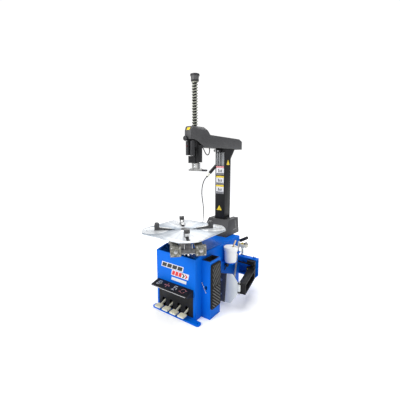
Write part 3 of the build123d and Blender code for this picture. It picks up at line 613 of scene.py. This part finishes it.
# ---- Turntable ---------------------------------------------------------------------------------
# A thick steel plate faced on a lathe, so its grain runs in rings. The rays of light from the
# centre and the pale discs at the two side corners are painted highlights in its colour. Its
# corners are rounded, four slots guide the jaws, and a small hub closes it.
def turned_finish_with_painted_highlights(name, painted_highlight_colour, blueish):
    """Steel turned about the Z axis: fine rings in its roughness and relief, and painted highlights
    in its colour, rays from the centre and pale discs at two corners.
    """
    finish = bpy.data.materials.new(name)
    finish.use_nodes = True
    make, link = finish.node_tree.nodes.new, finish.node_tree.links.new
    shader = finish.node_tree.nodes["Principled BSDF"]

    def work(operation, first, second=None, third=None):
        node = make("ShaderNodeMath")
        node.operation = operation
        for socket, value in zip(node.inputs, (first, second, third)):
            if isinstance(value, (int, float)):
                socket.default_value = value
            elif value is not None:
                link(value, socket)
        return node.outputs["Value"]

    place, split = make("ShaderNodeTexCoord"), make("ShaderNodeSeparateXYZ")
    link(place.outputs["Object"], split.inputs["Vector"])
    x, y = split.outputs["X"], split.outputs["Y"]
    radius = work("SQRT", work("ADD", work("MULTIPLY", x, x), work("MULTIPLY", y, y)))
    angle = work("ARCTAN2", y, x)
    # painted highlights: broad bright wedges to the front and the back, with narrow painted rays
    # inside them
    swing = work("COSINE", work("MULTIPLY_ADD", angle, 2, math.pi / 2))
    painted_highlight_wedges = work("MULTIPLY_ADD", swing, 0.5, 0.5)
    circle = make("ShaderNodeCombineXYZ")
    link(work("COSINE", angle), circle.inputs["X"])
    link(work("SINE", angle), circle.inputs["Y"])
    painted_ray_streaks = make("ShaderNodeTexNoise")
    painted_ray_streaks.inputs["Scale"].default_value = 5.5
    painted_ray_streaks.inputs["Detail"].default_value = 5
    link(circle.outputs["Vector"], painted_ray_streaks.inputs["Vector"])
    spread = work("MULTIPLY_ADD", painted_ray_streaks.outputs["Fac"], 3.2, -1.25)
    painted_highlight_tone = work("MULTIPLY_ADD", work("POWER", painted_highlight_wedges, 1.6), 0.75, work("MULTIPLY", spread, 0.34))
    # painted highlights: the pale discs where the side jaws run out to the corners
    along = work("MULTIPLY", work("ADD", x, y), 0.7071)
    across = work("MULTIPLY", work("SUBTRACT", x, y), 0.7071)
    outward = work("SUBTRACT", work("ABSOLUTE", along), 0.262)
    reach = work("SQRT", work("ADD", work("MULTIPLY", outward, outward),
                              work("MULTIPLY", across, across)))
    # disc masks a painted highlight at each side corner
    disc = make("ShaderNodeMapRange")
    disc.inputs["From Min"].default_value = 0.124
    disc.inputs["From Max"].default_value = 0.118
    link(reach, disc.inputs["Value"])
    painted_highlight_tone = work("MAXIMUM", painted_highlight_tone, work("MULTIPLY", disc.outputs["Result"], 0.92))
    held = make("ShaderNodeClamp")
    link(painted_highlight_tone, held.inputs["Value"])
    mix = make("ShaderNodeMix")
    mix.data_type = "RGBA"
    mix.inputs["A"].default_value = (*blueish, 1)
    mix.inputs["B"].default_value = (*painted_highlight_colour, 1)
    link(held.outputs["Result"], mix.inputs["Factor"])
    link(mix.outputs["Result"], shader.inputs["Base Color"])
    rings = make("ShaderNodeTexNoise")
    rings.noise_dimensions = "1D"
    rings.inputs["Scale"].default_value = 900
    rings.inputs["Detail"].default_value = 3
    link(radius, rings.inputs["W"])
    rough = make("ShaderNodeMapRange")
    rough.inputs["To Min"].default_value = 0.3
    rough.inputs["To Max"].default_value = 0.46
    link(rings.outputs["Fac"], rough.inputs["Value"])
    link(rough.outputs["Result"], shader.inputs["Roughness"])
    bump = make("ShaderNodeBump")
    bump.inputs["Strength"].default_value = 0.2
    bump.inputs["Distance"].default_value = 0.0003
    link(rings.outputs["Fac"], bump.inputs["Height"])
    link(bump.outputs["Normal"], shader.inputs["Normal"])
    shader.inputs["Metallic"].default_value = 0.45
    return finish


# the plate's rays and corner discs are painted highlights in its colour
TURNED = turned_finish_with_painted_highlights("turned plate with painted highlights", (0.80, 0.82, 0.83), (0.25, 0.295, 0.345))
rounded_copy("turntable_plate", 0.0008, TURNED, "turntable")
DARK_STEEL = solid_finish("oiled forging", (0.1, 0.1, 0.1), (0.16, 0.155, 0.15), 0.34, relief=0.7,
                          grain=300, patch=30, metal=0.8)
dress(DARK_STEEL, "turntable_spindle", "cam_plate")

# the hub cap over the plate's centre
hub = round_bar((0, 0, 0.7415), (0, 0, 0.7455), 0.030, 0.0015, 48)
pour(hub, round_bar((0, 0, 0.7445), (0, 0, 0.7505), 0.016, 0.002, 48))
add_piece("turntable_hub", hub, DARK_STEEL, "turntable")


# ---- Jaws --------------------------------------------------------------------------------------
# Four forged jaws slide along the plate's slots. Each has a stem with a dark hooked head and rows
# of teeth across both gripping faces so that the rim can't slip. Pale pieces on the stem's outer
# face and sloping top are painted highlights where the light falls on them.
JAW_STEEL = solid_finish("jaw forging", (0.07, 0.07, 0.072), (0.14, 0.14, 0.14), 0.32, relief=0.6,
                         grain=320, patch=45, metal=0.75)
# a pale finish for the painted highlights on the jaws' lit stem faces
JAW_PAINTED_HIGHLIGHT = solid_finish("jaw painted highlight", (0.82, 0.83, 0.82), (0.62, 0.62, 0.60), 0.3, relief=0.3,
                        grain=500, patch=40, metal=0.35)
JAW_ANGLES = {"front": -45, "right": 45, "rear": 135, "left": 225}
JAW_RADIUS, TOOTH_HALF = 0.235, 0.0222
for name, angle in JAW_ANGLES.items():
    body = f"jaw_{name}"
    rounded_copy(body, 0.0016, JAW_STEEL, body)
    teeth = bmesh.new()
    for step in range(6):
        z = 0.777 + step * 0.0042
        for near, far in ((0.022, 0.0262 - step * 0.0003), (-0.0172, -0.012)):
            pour(teeth, rounded_box((JAW_RADIUS + near, -TOOTH_HALF, z),
                                    (JAW_RADIUS + far, TOOTH_HALF, z + 0.0024), 0.0006))
    turn = Matrix.Rotation(math.radians(angle), 4, "Z")
    teeth.transform(turn)
    add_piece(f"{body}_teeth", teeth, DARK_STEEL, body)
    # painted highlights: pale pieces on the stem's outer face and strips along its sloping top
    painted_highlight_pieces = rounded_box((JAW_RADIUS + 0.0246, -0.0150, 0.7485),
                           (JAW_RADIUS + 0.0276, 0.0150, 0.7725), 0.0008)
    for start, rise, length in ((-0.124, 7.2, 0.094), (-0.030, 28.6, 0.024)):
        strip = rounded_box((0, -0.0125, -0.0006), (length, 0.0125, 0.0007), 0.0003)
        z = 0.7521 if rise < 10 else 0.764
        place = Matrix.Translation((JAW_RADIUS + start, 0, z))
        pour(painted_highlight_pieces, strip, place @ Matrix.Rotation(math.radians(-rise), 4, "Y"))
    painted_highlight_pieces.transform(turn)
    add_piece(f"{body}_painted_highlight_faces", painted_highlight_pieces, JAW_PAINTED_HIGHLIGHT, body)


# ---- Clamp cylinders ---------------------------------------------------------------------------
# Two air cylinders under the plate open and close the jaws. Their square end caps are rough sand
# castings with a bright bolt in the middle and four small ones at the corners.
ROUGH_CAST = solid_finish("sand cast aluminium", (0.30, 0.295, 0.255), (0.08, 0.078, 0.065), 0.5,
                          relief=2.6, grain=120, patch=70, spread=0.2, metal=0.6)
rounded_copy("clamp_cylinders", 0.003, ROUGH_CAST, "jaw_front")
CYL_OFFSET, CYL_Z, CAP_FRONT = 0.098, 0.660, 0.355
caps = bmesh.new()
for side in (-1, 1):
    y = side * CYL_OFFSET
    pour(caps, round_bar((CAP_FRONT - 0.001, y, CYL_Z), (CAP_FRONT + 0.003, y, CYL_Z), 0.015,
                         0.001))
    add_bolt(caps, (CAP_FRONT + 0.003, y, CYL_Z), (1, 0, 0), 0.019)
    for dy in (-0.031, 0.031):
        for dz in (-0.031, 0.031):
            add_bolt(caps, (CAP_FRONT, y + dy, CYL_Z + dz), (1, 0, 0), 0.007)
caps.transform(Matrix.Rotation(math.radians(-45), 4, "Z"))
add_piece("clamp_cap_bolts", caps, STEEL, "jaw_front")

# air pipes and their crossbar between the two caps
pipes = bmesh.new()
PIPE_X = CAP_FRONT - 0.012
for y in (-0.030, 0.030):
    pour(pipes, round_bar((PIPE_X, y, 0.628), (PIPE_X, y, 0.712), 0.0045, 0.001, 16))
pour(pipes, round_bar((PIPE_X, -0.06, 0.640), (PIPE_X, 0.06, 0.640), 0.0055, 0.001, 16))
pour(pipes, round_bar((PIPE_X, 0, 0.640), (CAP_FRONT + 0.006, 0, 0.628), 0.008, 0.002, 16))
pipes.transform(Matrix.Rotation(math.radians(-45), 4, "Z"))
add_piece("clamp_air_pipes", pipes, STEEL, "jaw_front")


# ---- Column ------------------------------------------------------------------------------------
# Square steel tube under a black powder coat. Its top front has upright grey guide bars and a small
# black clamp. Below are three plain stickers with coloured headers, and a yellow triangle.
rounded_copy("column_tube", 0.0015, BLACK_COAT, "column")
GUIDE_GREY = solid_finish("guide panel", (0.30, 0.31, 0.32), (0.22, 0.225, 0.23), 0.38, relief=0.3,
                          grain=500, patch=10, metal=0.3)
COLUMN_FRONT = 0.590
panel = bmesh.new()
for x0, x1 in ((-0.042, -0.028), (-0.016, -0.001), (0.008, 0.016), (0.022, 0.050)):
    pour(panel, rounded_box((x0, COLUMN_FRONT - 0.004, 1.288), (x1, COLUMN_FRONT + 0.001, 1.424),
                            0.0015))
add_piece("column_guide_bars", panel, GUIDE_GREY, "column")
# the small black clamp under the arm, with its two bright bolts
clamp_block = rounded_box((-0.052, 0.552, 1.426), (0.018, COLUMN_FRONT + 0.001, 1.452), 0.004, 3)
pour(clamp_block, round_bar((-0.046, 0.556, 1.432), (-0.046, 0.556, 1.450), 0.010, 0.002))
add_piece("arm_lock_clamp", clamp_block, BLACK_PLASTIC, "column")
clamp_bolts = bmesh.new()
for x in (-0.034, -0.004):
    add_bolt(clamp_bolts, (x, 0.552, 1.438), (0, -1, 0), 0.010)
add_piece("arm_lock_bolts", clamp_bolts, ZINC, "column")

YELLOW_INK = solid_finish("yellow ink", (0.82, 0.6, 0.02), (0.76, 0.55, 0.02), 0.35, relief=0.05)
GREY_INK = solid_finish("grey ink", (0.3, 0.3, 0.32), (0.26, 0.26, 0.28), 0.4, relief=0.05)
STICKER_HALF = 0.047
stickers = {"pink": bmesh.new(), "yellow": bmesh.new(), "white": bmesh.new(), "grey": bmesh.new(),
            "black": bmesh.new()}


def sticker_band(colour, z0, z1, inset=0.0, proud=0.0005):
    pour(stickers[colour], rounded_box((-STICKER_HALF + inset, COLUMN_FRONT - proud, z0),
                                       (STICKER_HALF - inset, COLUMN_FRONT + 0.0005, z1), 0.0002))


for header, top in (("pink", 1.282), ("yellow", 1.181), ("yellow", 1.0865)):
    sticker_band(header, top - 0.018, top)
    sticker_band("white", top - 0.068, top - 0.0185)
    sticker_band("grey", top - 0.091, top - 0.0685)
    for row in range(2):
        sticker_band("black", top - 0.078 - row * 0.008, top - 0.075 - row * 0.008, 0.012, 0.0009)
    for x, z, tall in ((-0.02, -0.060, 0.030), (-0.004, -0.060, 0.018), (0.012, -0.060, 0.024)):
        pour(stickers["black"], rounded_box((x, COLUMN_FRONT - 0.0009, top + z),
                                            (x + 0.010, COLUMN_FRONT, top + z + tall), 0.0003))


def triangle_plate(half_width, height, thick):
    """An upright triangle with rounded corners, in the XZ plane."""
    part = bmesh.new()
    rim = [part.verts.new(p) for p in ((-half_width, 0, 0), (half_width, 0, 0), (0, 0, height))]
    face = part.faces.new(rim)
    raised = bmesh.ops.extrude_face_region(part, geom=[face])["geom"]
    bmesh.ops.translate(part, vec=(0, thick, 0),
                        verts=[g for g in raised if isinstance(g, bmesh.types.BMVert)])
    bmesh.ops.recalc_face_normals(part, faces=part.faces)
    upright = [e for e in part.edges if abs(e.verts[0].co.y - e.verts[1].co.y) > thick / 2]
    round_edges(part, upright, 0.005, 4)
    return part


def plain_triangle(matrix):
    pour(stickers["yellow"], triangle_plate(0.031, 0.054, 0.0008), matrix)


plain_triangle(Matrix.Translation((-0.004, COLUMN_FRONT - 0.0006, 0.818)))
side_turn = Matrix.Rotation(math.radians(90), 4, "Z")
plain_triangle(Matrix.Translation((0.0606, 0.649, 1.294)) @ side_turn)
plain_triangle(Matrix.Translation((-0.0602, 0.649, 1.294)) @ side_turn)
for colour, ink, slot in (("pink", PINK_INK, "red_plastic"), ("yellow", YELLOW_INK, "red_plastic"),
                          ("white", WHITE_INK, "white_plastic"), ("grey", GREY_INK, "grey_plastic"),
                          ("black", BLACK_INK, "black_plastic")):
    add_piece(f"column_stickers_{colour}", stickers[colour], ink, "column")


# ---- Base cover --------------------------------------------------------------------------------
# Moulded dark grey hood over the column's hinge, open for the column at its top and back. A pale
# hook-shaped groove runs down each side.
GREY_PLASTIC = solid_finish("dark grey moulding", (0.045, 0.045, 0.047), (0.06, 0.06, 0.062), 0.44,
                            relief=0.8, grain=700, patch=8, gloss=0.4)
rounded_copy("base_cover", 0.0012, GREY_PLASTIC, "cabinet")
PALE_LINE = solid_finish("pale groove", (0.3, 0.3, 0.3), (0.25, 0.25, 0.25), 0.4, relief=0.2)
cover_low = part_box("base_cover")[0]
# each flank leans inwards from the foot to the top
LEAN = math.atan2(0.150 - 0.126, 0.728 - 0.5705)
for name, side in (("right", 1), ("left", -1)):
    groove = bmesh.new()
    pour(groove, rounded_box((-0.001, 0.040, 0.052), (0.0012, 0.046, 0.140), 0.0008))
    pour(groove, rounded_box((-0.001, -0.020, 0.046), (0.0012, 0.046, 0.052), 0.0008))
    groove.transform(Matrix.Translation((side * 0.150, 0.655, cover_low.z))
                     @ Matrix.Rotation(-side * LEAN, 4, "Y"))
    add_piece(f"base_cover_groove_{name}", groove, PALE_LINE, "cabinet")


# ---- Arm with its cover ------------------------------------------------------------------------
# A square arm slides through the guide on the column. A moulded grey cover hides it, with flat
# facets round its nose, a plain yellow sticker on the nose and a round lock knob below it.
rounded_copy("arm_cover", 0.006, GREY_PLASTIC, "arm", None, 3)
rounded_copy("arm_tube", 0.0015, BLACK_COAT, "arm")
rounded_copy("control_grip", 0.004, BLACK_PLASTIC, "arm")
rounded_copy("lock_cylinder", 0.006, BLACK_PLASTIC, "arm", None, 4)
RED_PLASTIC = solid_finish("red plastic", (0.12, 0.01, 0.01), (0.09, 0.008, 0.008), 0.4, relief=0.1)
rounded_copy("grip_button", 0.0015, RED_PLASTIC, "grip_button")
NOSE_Y = 0.060
FACET_FOOT, FACET_TOP = Vector((0, 0.0605, 1.596)), Vector((0, 0.092, 1.640))
nose = rounded_box((-0.019, 0, -0.0008), (0.013, 0.027, 0.0010), 0.0005)
lean = math.atan2(FACET_TOP.z - FACET_FOOT.z, FACET_TOP.y - FACET_FOOT.y)
nose.transform(Matrix.Translation(FACET_FOOT.lerp(FACET_TOP, 0.22))
               @ Matrix.Rotation(lean, 4, "X"))
add_piece("nose_sticker", nose, YELLOW_INK, "arm")
lock = round_bar((-0.020, NOSE_Y + 0.008, 1.535), (-0.020, NOSE_Y - 0.016, 1.535), 0.020, 0.004, 36)
for turn in range(12):
    angle = math.tau * turn / 12
    spot = Vector((-0.020 + 0.0195 * math.cos(angle), 0, 1.535 + 0.0195 * math.sin(angle)))
    pour(lock, round_bar(spot + Vector((0, NOSE_Y - 0.014, 0)),
                         spot + Vector((0, NOSE_Y + 0.002, 0)), 0.0028, 0.0008, 10))
add_piece("lock_knob", lock, BLACK_PLASTIC, "arm")


# ---- Vertical shaft, spring and cap ------------------------------------------------------------
# A hexagon bar hangs from an open coil spring of oiled wire, under a moulded cap with a wider rim.
# The spring lifts the head when the lock is let go; on the real machine its coils close up as the
# shaft goes down, but here the coil is one fixed mesh riding on the arm.
rounded_copy("hex_shaft", 0.0012, BLACK_COAT, "shaft")
SPRING_STEEL = solid_finish("oiled spring wire", (0.34, 0.35, 0.29), (0.20, 0.205, 0.17), 0.42,
                            relief=0.5, grain=500, patch=40, metal=0.45)
low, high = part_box("shaft_spring")
SHAFT = ((low.x + high.x) / 2, (low.y + high.y) / 2)
WIRE, COIL_RADIUS, COILS = 0.0046, 0.0234, 19
spring = coil((*SHAFT, low.z + WIRE), (*SHAFT, high.z - WIRE), COILS, COIL_RADIUS, WIRE, 36, 12)
for z in (low.z + WIRE, high.z - WIRE):
    pour(spring, coil((*SHAFT, z - 0.0001), (*SHAFT, z + 0.0001), 1, COIL_RADIUS, WIRE * 0.98, 36,
                      12))
coils = add_piece("shaft_coil", spring, SPRING_STEEL, "arm", 60)
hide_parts("shaft_spring")
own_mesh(coils)

low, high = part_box("shaft_cap")


def turned(outline, centre, sides=64):
    """Spins an outline of radius and height about an upright axis."""
    part = bmesh.new()
    line = [part.verts.new((r, 0, z)) for r, z in outline]
    edges = [part.edges.new(pair) for pair in zip(line, line[1:])]
    bmesh.ops.spin(part, geom=line + edges, cent=(0, 0, 0), axis=(0, 0, 1), angle=math.tau,
                   steps=sides, use_merge=True)
    bmesh.ops.remove_doubles(part, verts=part.verts, dist=1e-6)
    bmesh.ops.recalc_face_normals(part, faces=part.faces)
    bmesh.ops.translate(part, vec=(*centre, 0), verts=part.verts)
    return part


cap = turned(((0.0, 2.080), (0.033, 2.080), (0.0385, 2.0785), (0.040, 2.075), (0.040, 2.067),
              (0.0375, 2.064), (0.035, 2.063), (0.034, 2.047), (0.034, 2.040), (0.0345, 2.038),
              (0.0345, 2.030), (0.033, 2.021), (0.0195, 2.021), (0.0195, 2.026), (0.0, 2.026)),
             SHAFT)
CAP_PLASTIC = solid_finish("grey cap", (0.055, 0.055, 0.056), (0.08, 0.08, 0.081), 0.4, relief=0.4,
                           grain=900, patch=20)
shaft_cap = add_piece("shaft_cap_moulding", cap, CAP_PLASTIC, "shaft")
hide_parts("shaft_cap")
cap_bands = round_bar((*SHAFT, 2.0645), (*SHAFT, 2.0795), 0.0403, 0.0015, 64)
pour(cap_bands, round_bar((*SHAFT, 2.0215), (*SHAFT, 2.0310), 0.0350, 0.001, 64))
add_piece("shaft_cap_bands", cap_bands, BLACK_PLASTIC, "shaft")


# ---- Mounting head -----------------------------------------------------------------------------
# The plated steel duckhead that lifts the tyre over the rim: a foot that curves up at both ends,
# clamped to the shaft by two screws, with a black nylon tip to spare the rim.
HEAD_STEEL = solid_finish("worn head casting", (0.36, 0.36, 0.35), (0.17, 0.17, 0.165), 0.38,
                          relief=1.2, grain=220, patch=45, spread=0.15, metal=0.7)
rounded_copy("mount_head", 0.003, HEAD_STEEL, "shaft", None, 3)
rounded_copy("head_tip", 0.003, BLACK_PLASTIC, "shaft", None, 3)
clamp = bmesh.new()
for z in (1.288, 1.308):
    add_bolt(clamp, (0.010, 0.146, z), (0, -1, 0), 0.009)
    add_bolt(clamp, (0.044, 0.165, z), (1, 0, 0), 0.009)
pour(clamp, round_bar((-0.050, 0.163, 1.262), (-0.050, 0.163, 1.2495), 0.006, 0.0015, 20))
add_piece("head_screws", clamp, ZINC, "shaft")


# ---- Hoses -------------------------------------------------------------------------------------
# Black rubber air hoses. A short one loops from the shaft's sleeve to the arm, and the inflator's
# hose drops from the gun on the column to a gland on the cabinet's rear deck.
HOSE_RUBBER = solid_finish("black hose", (0.006, 0.006, 0.006), (0.012, 0.012, 0.012), 0.5,
                           relief=0.3, grain=1200, patch=30, gloss=0.15)
HOSE = 0.009


def hose_curve(name, route, body):
    """A round hose along one smooth spline."""
    line = bpy.data.curves.new(name, "CURVE")
    line.dimensions = "3D"
    line.bevel_depth = HOSE / 2
    line.bevel_resolution = 5
    line.use_fill_caps = True
    path = line.splines.new("NURBS")
    path.points.add(len(route) - 1)
    for point, spot in zip(path.points, route):
        point.co = (*(v / 1000 for v in spot), 1)
    path.order_u = 3
    path.use_endpoint_u = True
    path.resolution_u = 10
    line.materials.append(HOSE_RUBBER)
    hose = bpy.data.objects.new(name, line)
    scene.collection.objects.link(hose)
    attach(hose, body)
    return hose


HEAD_HOSE = [(52, 190, 1466), (53, 206, 1460), (55, 222, 1444), (56, 240, 1418), (56, 262, 1397),
             (55, 288, 1392), (54, 309, 1405), (51, 322, 1428), (45, 330, 1449), (37, 331, 1465)]
loop = hose_curve("head_loop_hose", HEAD_HOSE, "arm")
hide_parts("head_hose")

INFLATOR_HOSE = [(-79, 467.2, 1177.4), (-81, 438, 1160), (-84, 412, 1126), (-88, 396, 1075),
                 (-93, 396, 1020), (-100, 414, 958), (-108, 440, 900), (-114, 456, 842),
                 (-122, 466, 782), (-132, 476, 722), (-144, 486, 668), (-156, 495, 626),
                 (-164, 499, 602), (-165, 500, 584)]
line_hose = hose_curve("inflator_line", INFLATOR_HOSE[::-1], "cabinet")
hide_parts("inflator_hose")
rounded_copy("hose_gland", 0.0012, BLACK_PLASTIC, "cabinet", name="hose_gland_nut")

# the gun: a black body with a pale connector and a bracket to the column
rounded_copy("inflator_gun", 0.002, BLACK_PLASTIC, "column", name="inflator_body")
CLEAR_GREY = solid_finish("pale connector", (0.85, 0.85, 0.76), (0.68, 0.68, 0.6), 0.3, relief=0.1)
gun_end, gun_in = Vector((-0.079, 0.468, 1.178)), Vector((-0.079, 0.524, 1.216))
connector = round_bar(gun_end.lerp(gun_in, 0.02), gun_end.lerp(gun_in, 0.75), 0.0115, 0.001)
for share in (0.12, 0.3, 0.5):
    pour(connector, round_bar(gun_end.lerp(gun_in, share), gun_end.lerp(gun_in, share + 0.09),
                              0.0135, 0.001))
collar = add_piece("inflator_connector", connector, CLEAR_GREY, "column")


# ---- Air filter and regulator ------------------------------------------------------------------
# A grey cast block on the cabinet's back with a clear polycarbonate bowl under it, a black knob
# that slopes to one side, a yellow lock ring and a bent black elbow.
rounded_copy("frl_body", 0.0015, CAST, "cabinet")
rounded_copy("frl_knob", 0.003, BLACK_PLASTIC, "frl_knob", None, 3)
low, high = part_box("frl_bowl")
BOWL = ((low.x + high.x) / 2, (low.y + high.y) / 2)
CLEAR = bpy.data.materials.new("clear bowl")
CLEAR.use_nodes = True
clear_shader = CLEAR.node_tree.nodes["Principled BSDF"]
clear_shader.inputs["Base Color"].default_value = (0.93, 0.95, 0.93, 1)
clear_shader.inputs["Roughness"].default_value = 0.08
clear_shader.inputs["Transmission Weight"].default_value = 0.85
clear_shader.inputs["IOR"].default_value = 1.45
bowl = turned(((0.0, low.z), (0.008, low.z), (0.016, low.z + 0.004), (0.0195, low.z + 0.014),
               (0.020, low.z + 0.020), (0.020, high.z), (0.0172, high.z), (0.0172, low.z + 0.020),
               (0.0165, low.z + 0.015), (0.0135, low.z + 0.007), (0.0, low.z + 0.0035)), BOWL, 48)
shown_bowl = add_piece("filter_bowl", bowl, CLEAR, "cabinet")
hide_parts("frl_bowl")
inside = round_bar((*BOWL, high.z), (*BOWL, low.z + 0.030), 0.006, 0.002, 24)
pour(inside, round_bar((*BOWL, low.z + 0.030), (*BOWL, low.z + 0.010), 0.0095, 0.002, 24,
                       end_radius=0.004))
add_piece("filter_element", inside, WHITE_INK, "cabinet")
ring = round_bar((0.244, 0.662, 0.474), (0.244, 0.662, 0.488), 0.013, 0.002)
add_piece("regulator_lock_ring", ring, YELLOW_INK, "cabinet")
elbow = round_bar((0.270, 0.662, 0.4735), (0.270, 0.662, 0.492), 0.0075, 0.0015, 20)
pour(elbow, round_bar((0.270, 0.662, 0.488), (0.294, 0.662, 0.496), 0.007, 0.0015, 20))
pour(elbow, round_bar((0.293, 0.662, 0.498), (0.299, 0.662, 0.478), 0.0065, 0.0015, 20))
add_piece("air_elbow", elbow, BLACK_PLASTIC, "cabinet")


# ---- Paste bucket, brush and tyre lever --------------------------------------------------------
# A white polypropylene bucket with a snap-on lid sits on a shelf, and a wooden brush leans in it.
# The tyre lever, a flat forged bar with spooned ends, hangs in a ring beside it.
WHITE_PLASTIC = solid_finish("white polypropylene", (0.93, 0.93, 0.92), (0.88, 0.88, 0.87), 0.34,
                             relief=0.15, grain=500, patch=14)
low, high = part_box("bucket")
BUCKET = ((low.x + high.x) / 2, (low.y + high.y) / 2)
WALL = 0.0024
pail = turned(((0.0, low.z), (0.052, low.z), (0.0555, low.z + 0.003), (0.0578, low.z + 0.050),
               (0.0594, low.z + 0.100), (0.0612, low.z + 0.102), (0.0612, low.z + 0.107),
               (0.0597, low.z + 0.109), (0.0605, high.z), (0.0605 - WALL, high.z),
               (0.0574, low.z + 0.110), (0.0553, low.z + 0.050), (0.0532, low.z + 0.0055),
               (0.0, low.z + 0.003)), BUCKET)
shown_pail = add_piece("paste_pail", pail, WHITE_PLASTIC, "bucket")
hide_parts("bucket")
low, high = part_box("bucket_lid")
HOLE = 0.0392
lid = turned(((HOLE, low.z + 0.003), (HOLE, low.z + 0.0055), (0.052, low.z + 0.0065),
              (0.056, low.z + 0.0095), (0.063, high.z), (0.0655, high.z - 0.002),
              (0.066, low.z - 0.012), (0.0650, low.z - 0.021), (0.0635, low.z - 0.021),
              (0.0638, low.z + 0.0015), (0.055, low.z + 0.0015), (0.050, low.z + 0.003),
              (HOLE, low.z + 0.003)), BUCKET)
shown_lid = add_piece("paste_pail_lid", lid, WHITE_PLASTIC, "bucket")
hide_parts("bucket_lid")

# a thin splash disc fills the lid's opening, with a hole of its own round the leaning brush
DISC_Z, BRUSH_HOLE = low.z + 0.0035, (BUCKET[0] + 0.0103, BUCKET[1] + 0.0246)
disc = bmesh.new()
for centre, radius, z in ((BUCKET, HOLE + 0.0015, DISC_Z), (BRUSH_HOLE, 0.0135, DISC_Z + 0.001)):
    bmesh.ops.create_circle(disc, segments=72, radius=radius,
                            matrix=Matrix.Translation((*centre, z)))
bmesh.ops.bridge_loops(disc, edges=disc.edges[:])
raised = bmesh.ops.extrude_face_region(disc, geom=disc.faces[:])["geom"]
bmesh.ops.translate(disc, vec=(0, 0, 0.0015),
                    verts=[g for g in raised if isinstance(g, bmesh.types.BMVert)])
bmesh.ops.recalc_face_normals(disc, faces=disc.faces)
add_piece("paste_pail_splash_disc", disc, WHITE_PLASTIC, "bucket")

WOOD = bpy.data.materials.new("beech handle")
WOOD.use_nodes = True
make, link = WOOD.node_tree.nodes.new, WOOD.node_tree.links.new
wood_shader = WOOD.node_tree.nodes["Principled BSDF"]
stretch, wave = make("ShaderNodeMapping"), make("ShaderNodeTexNoise")
stretch.inputs["Scale"].default_value = (60, 60, 5)
wave.inputs["Scale"].default_value = 4
wave.inputs["Detail"].default_value = 6
link(make("ShaderNodeTexCoord").outputs["Object"], stretch.inputs["Vector"])
link(stretch.outputs["Vector"], wave.inputs["Vector"])
ramp = make("ShaderNodeMix")
ramp.data_type = "RGBA"
ramp.inputs["A"].default_value = (0.80, 0.62, 0.42, 1)
ramp.inputs["B"].default_value = (0.62, 0.45, 0.27, 1)
link(wave.outputs["Fac"], ramp.inputs["Factor"])
link(ramp.outputs["Result"], wood_shader.inputs["Base Color"])
wood_shader.inputs["Roughness"].default_value = 0.45
BRUSH_FOOT = Vector((BUCKET[0] - 0.024, BUCKET[1] - 0.031, 0.412))
BRUSH_TOP = Vector((BUCKET[0] + 0.026, BUCKET[1] + 0.050, 0.600))
brush_length = (BRUSH_TOP - BRUSH_FOOT).length
handle = turned(((0.0, 0.0), (0.0075, 0.0), (0.008, 0.03), (0.0068, 0.09), (0.0062, 0.15),
                 (0.0075, brush_length - 0.02), (0.007, brush_length - 0.004),
                 (0.004, brush_length), (0.0, brush_length)), (0, 0), 32)
handle.transform(aim(BRUSH_FOOT, BRUSH_TOP - BRUSH_FOOT))
shown_brush = add_piece("brush_handle", handle, WOOD, "paste_brush")
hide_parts("paste_brush")

LEVER_STEEL = solid_finish("worn lever steel", (0.50, 0.475, 0.42), (0.38, 0.36, 0.32), 0.42,
                           relief=0.4, grain=300, patch=24, metal=0.15)
rounded_copy("tyre_lever", 0.0015, LEVER_STEEL, "tyre_lever")


# ---- Bead breaker ------------------------------------------------------------------------------
# A black channel arm swings on a pin in the blue bracket and presses an angled, zinc-plated blade
# against the tyre. Two bolts hold a nylon guard along the blade's inner edge, and the arm's
# plate carries a plain yellow sticker.
rounded_copy("breaker_arm", 0.0012, BLACK_COAT, "breaker_arm")
rounded_copy("breaker_blade", 0.0012, solid_finish(
    "zinc plated blade", (0.84, 0.87, 0.85), (0.74, 0.78, 0.77), 0.42, relief=0.3, grain=300,
    patch=7, spread=0.15), "blade")
NYLON = solid_finish("black nylon", (0.05, 0.05, 0.056), (0.075, 0.075, 0.08), 0.4, relief=0.4,
                     grain=500, patch=9)
rounded_copy("blade_guard", 0.003, NYLON, "blade", None, 3)
guard_bolts = bmesh.new()
for x, z in ((0.254, 0.245), (0.250, 0.105)):
    add_bolt(guard_bolts, (x, 0.231, z), (0, -1, 0), 0.011)
add_piece("guard_bolts", guard_bolts, ZINC, "blade")

BREAKER_PIN = Vector((0.387, 0.640, 0.358))
pin_cap = round_bar(BREAKER_PIN, BREAKER_PIN + Vector((0, 0, 0.008)), 0.022, 0.002)
add_bolt(pin_cap, BREAKER_PIN + Vector((0, 0, 0.008)), (0, 0, 1), 0.014)
add_piece("breaker_pin_cap", pin_cap, BLUE, "cabinet")
plate_sticker = rounded_box((0.350, 0.5672, 0.240), (0.390, 0.5682, 0.262), 0.0003)
add_piece("breaker_sticker", plate_sticker, YELLOW_INK, "breaker_arm")
BLADE_PIN = Vector((0.438, 0.240, 0.261))
blade_nut = bmesh.new()
add_bolt(blade_nut, BLADE_PIN, (0, 0, 1), 0.018)
add_bolt(blade_nut, BLADE_PIN - Vector((0, 0, 0.0935)), (0, 0, -1), 0.018)
add_piece("blade_pin_nuts", blade_nut, STEEL, "breaker_arm")
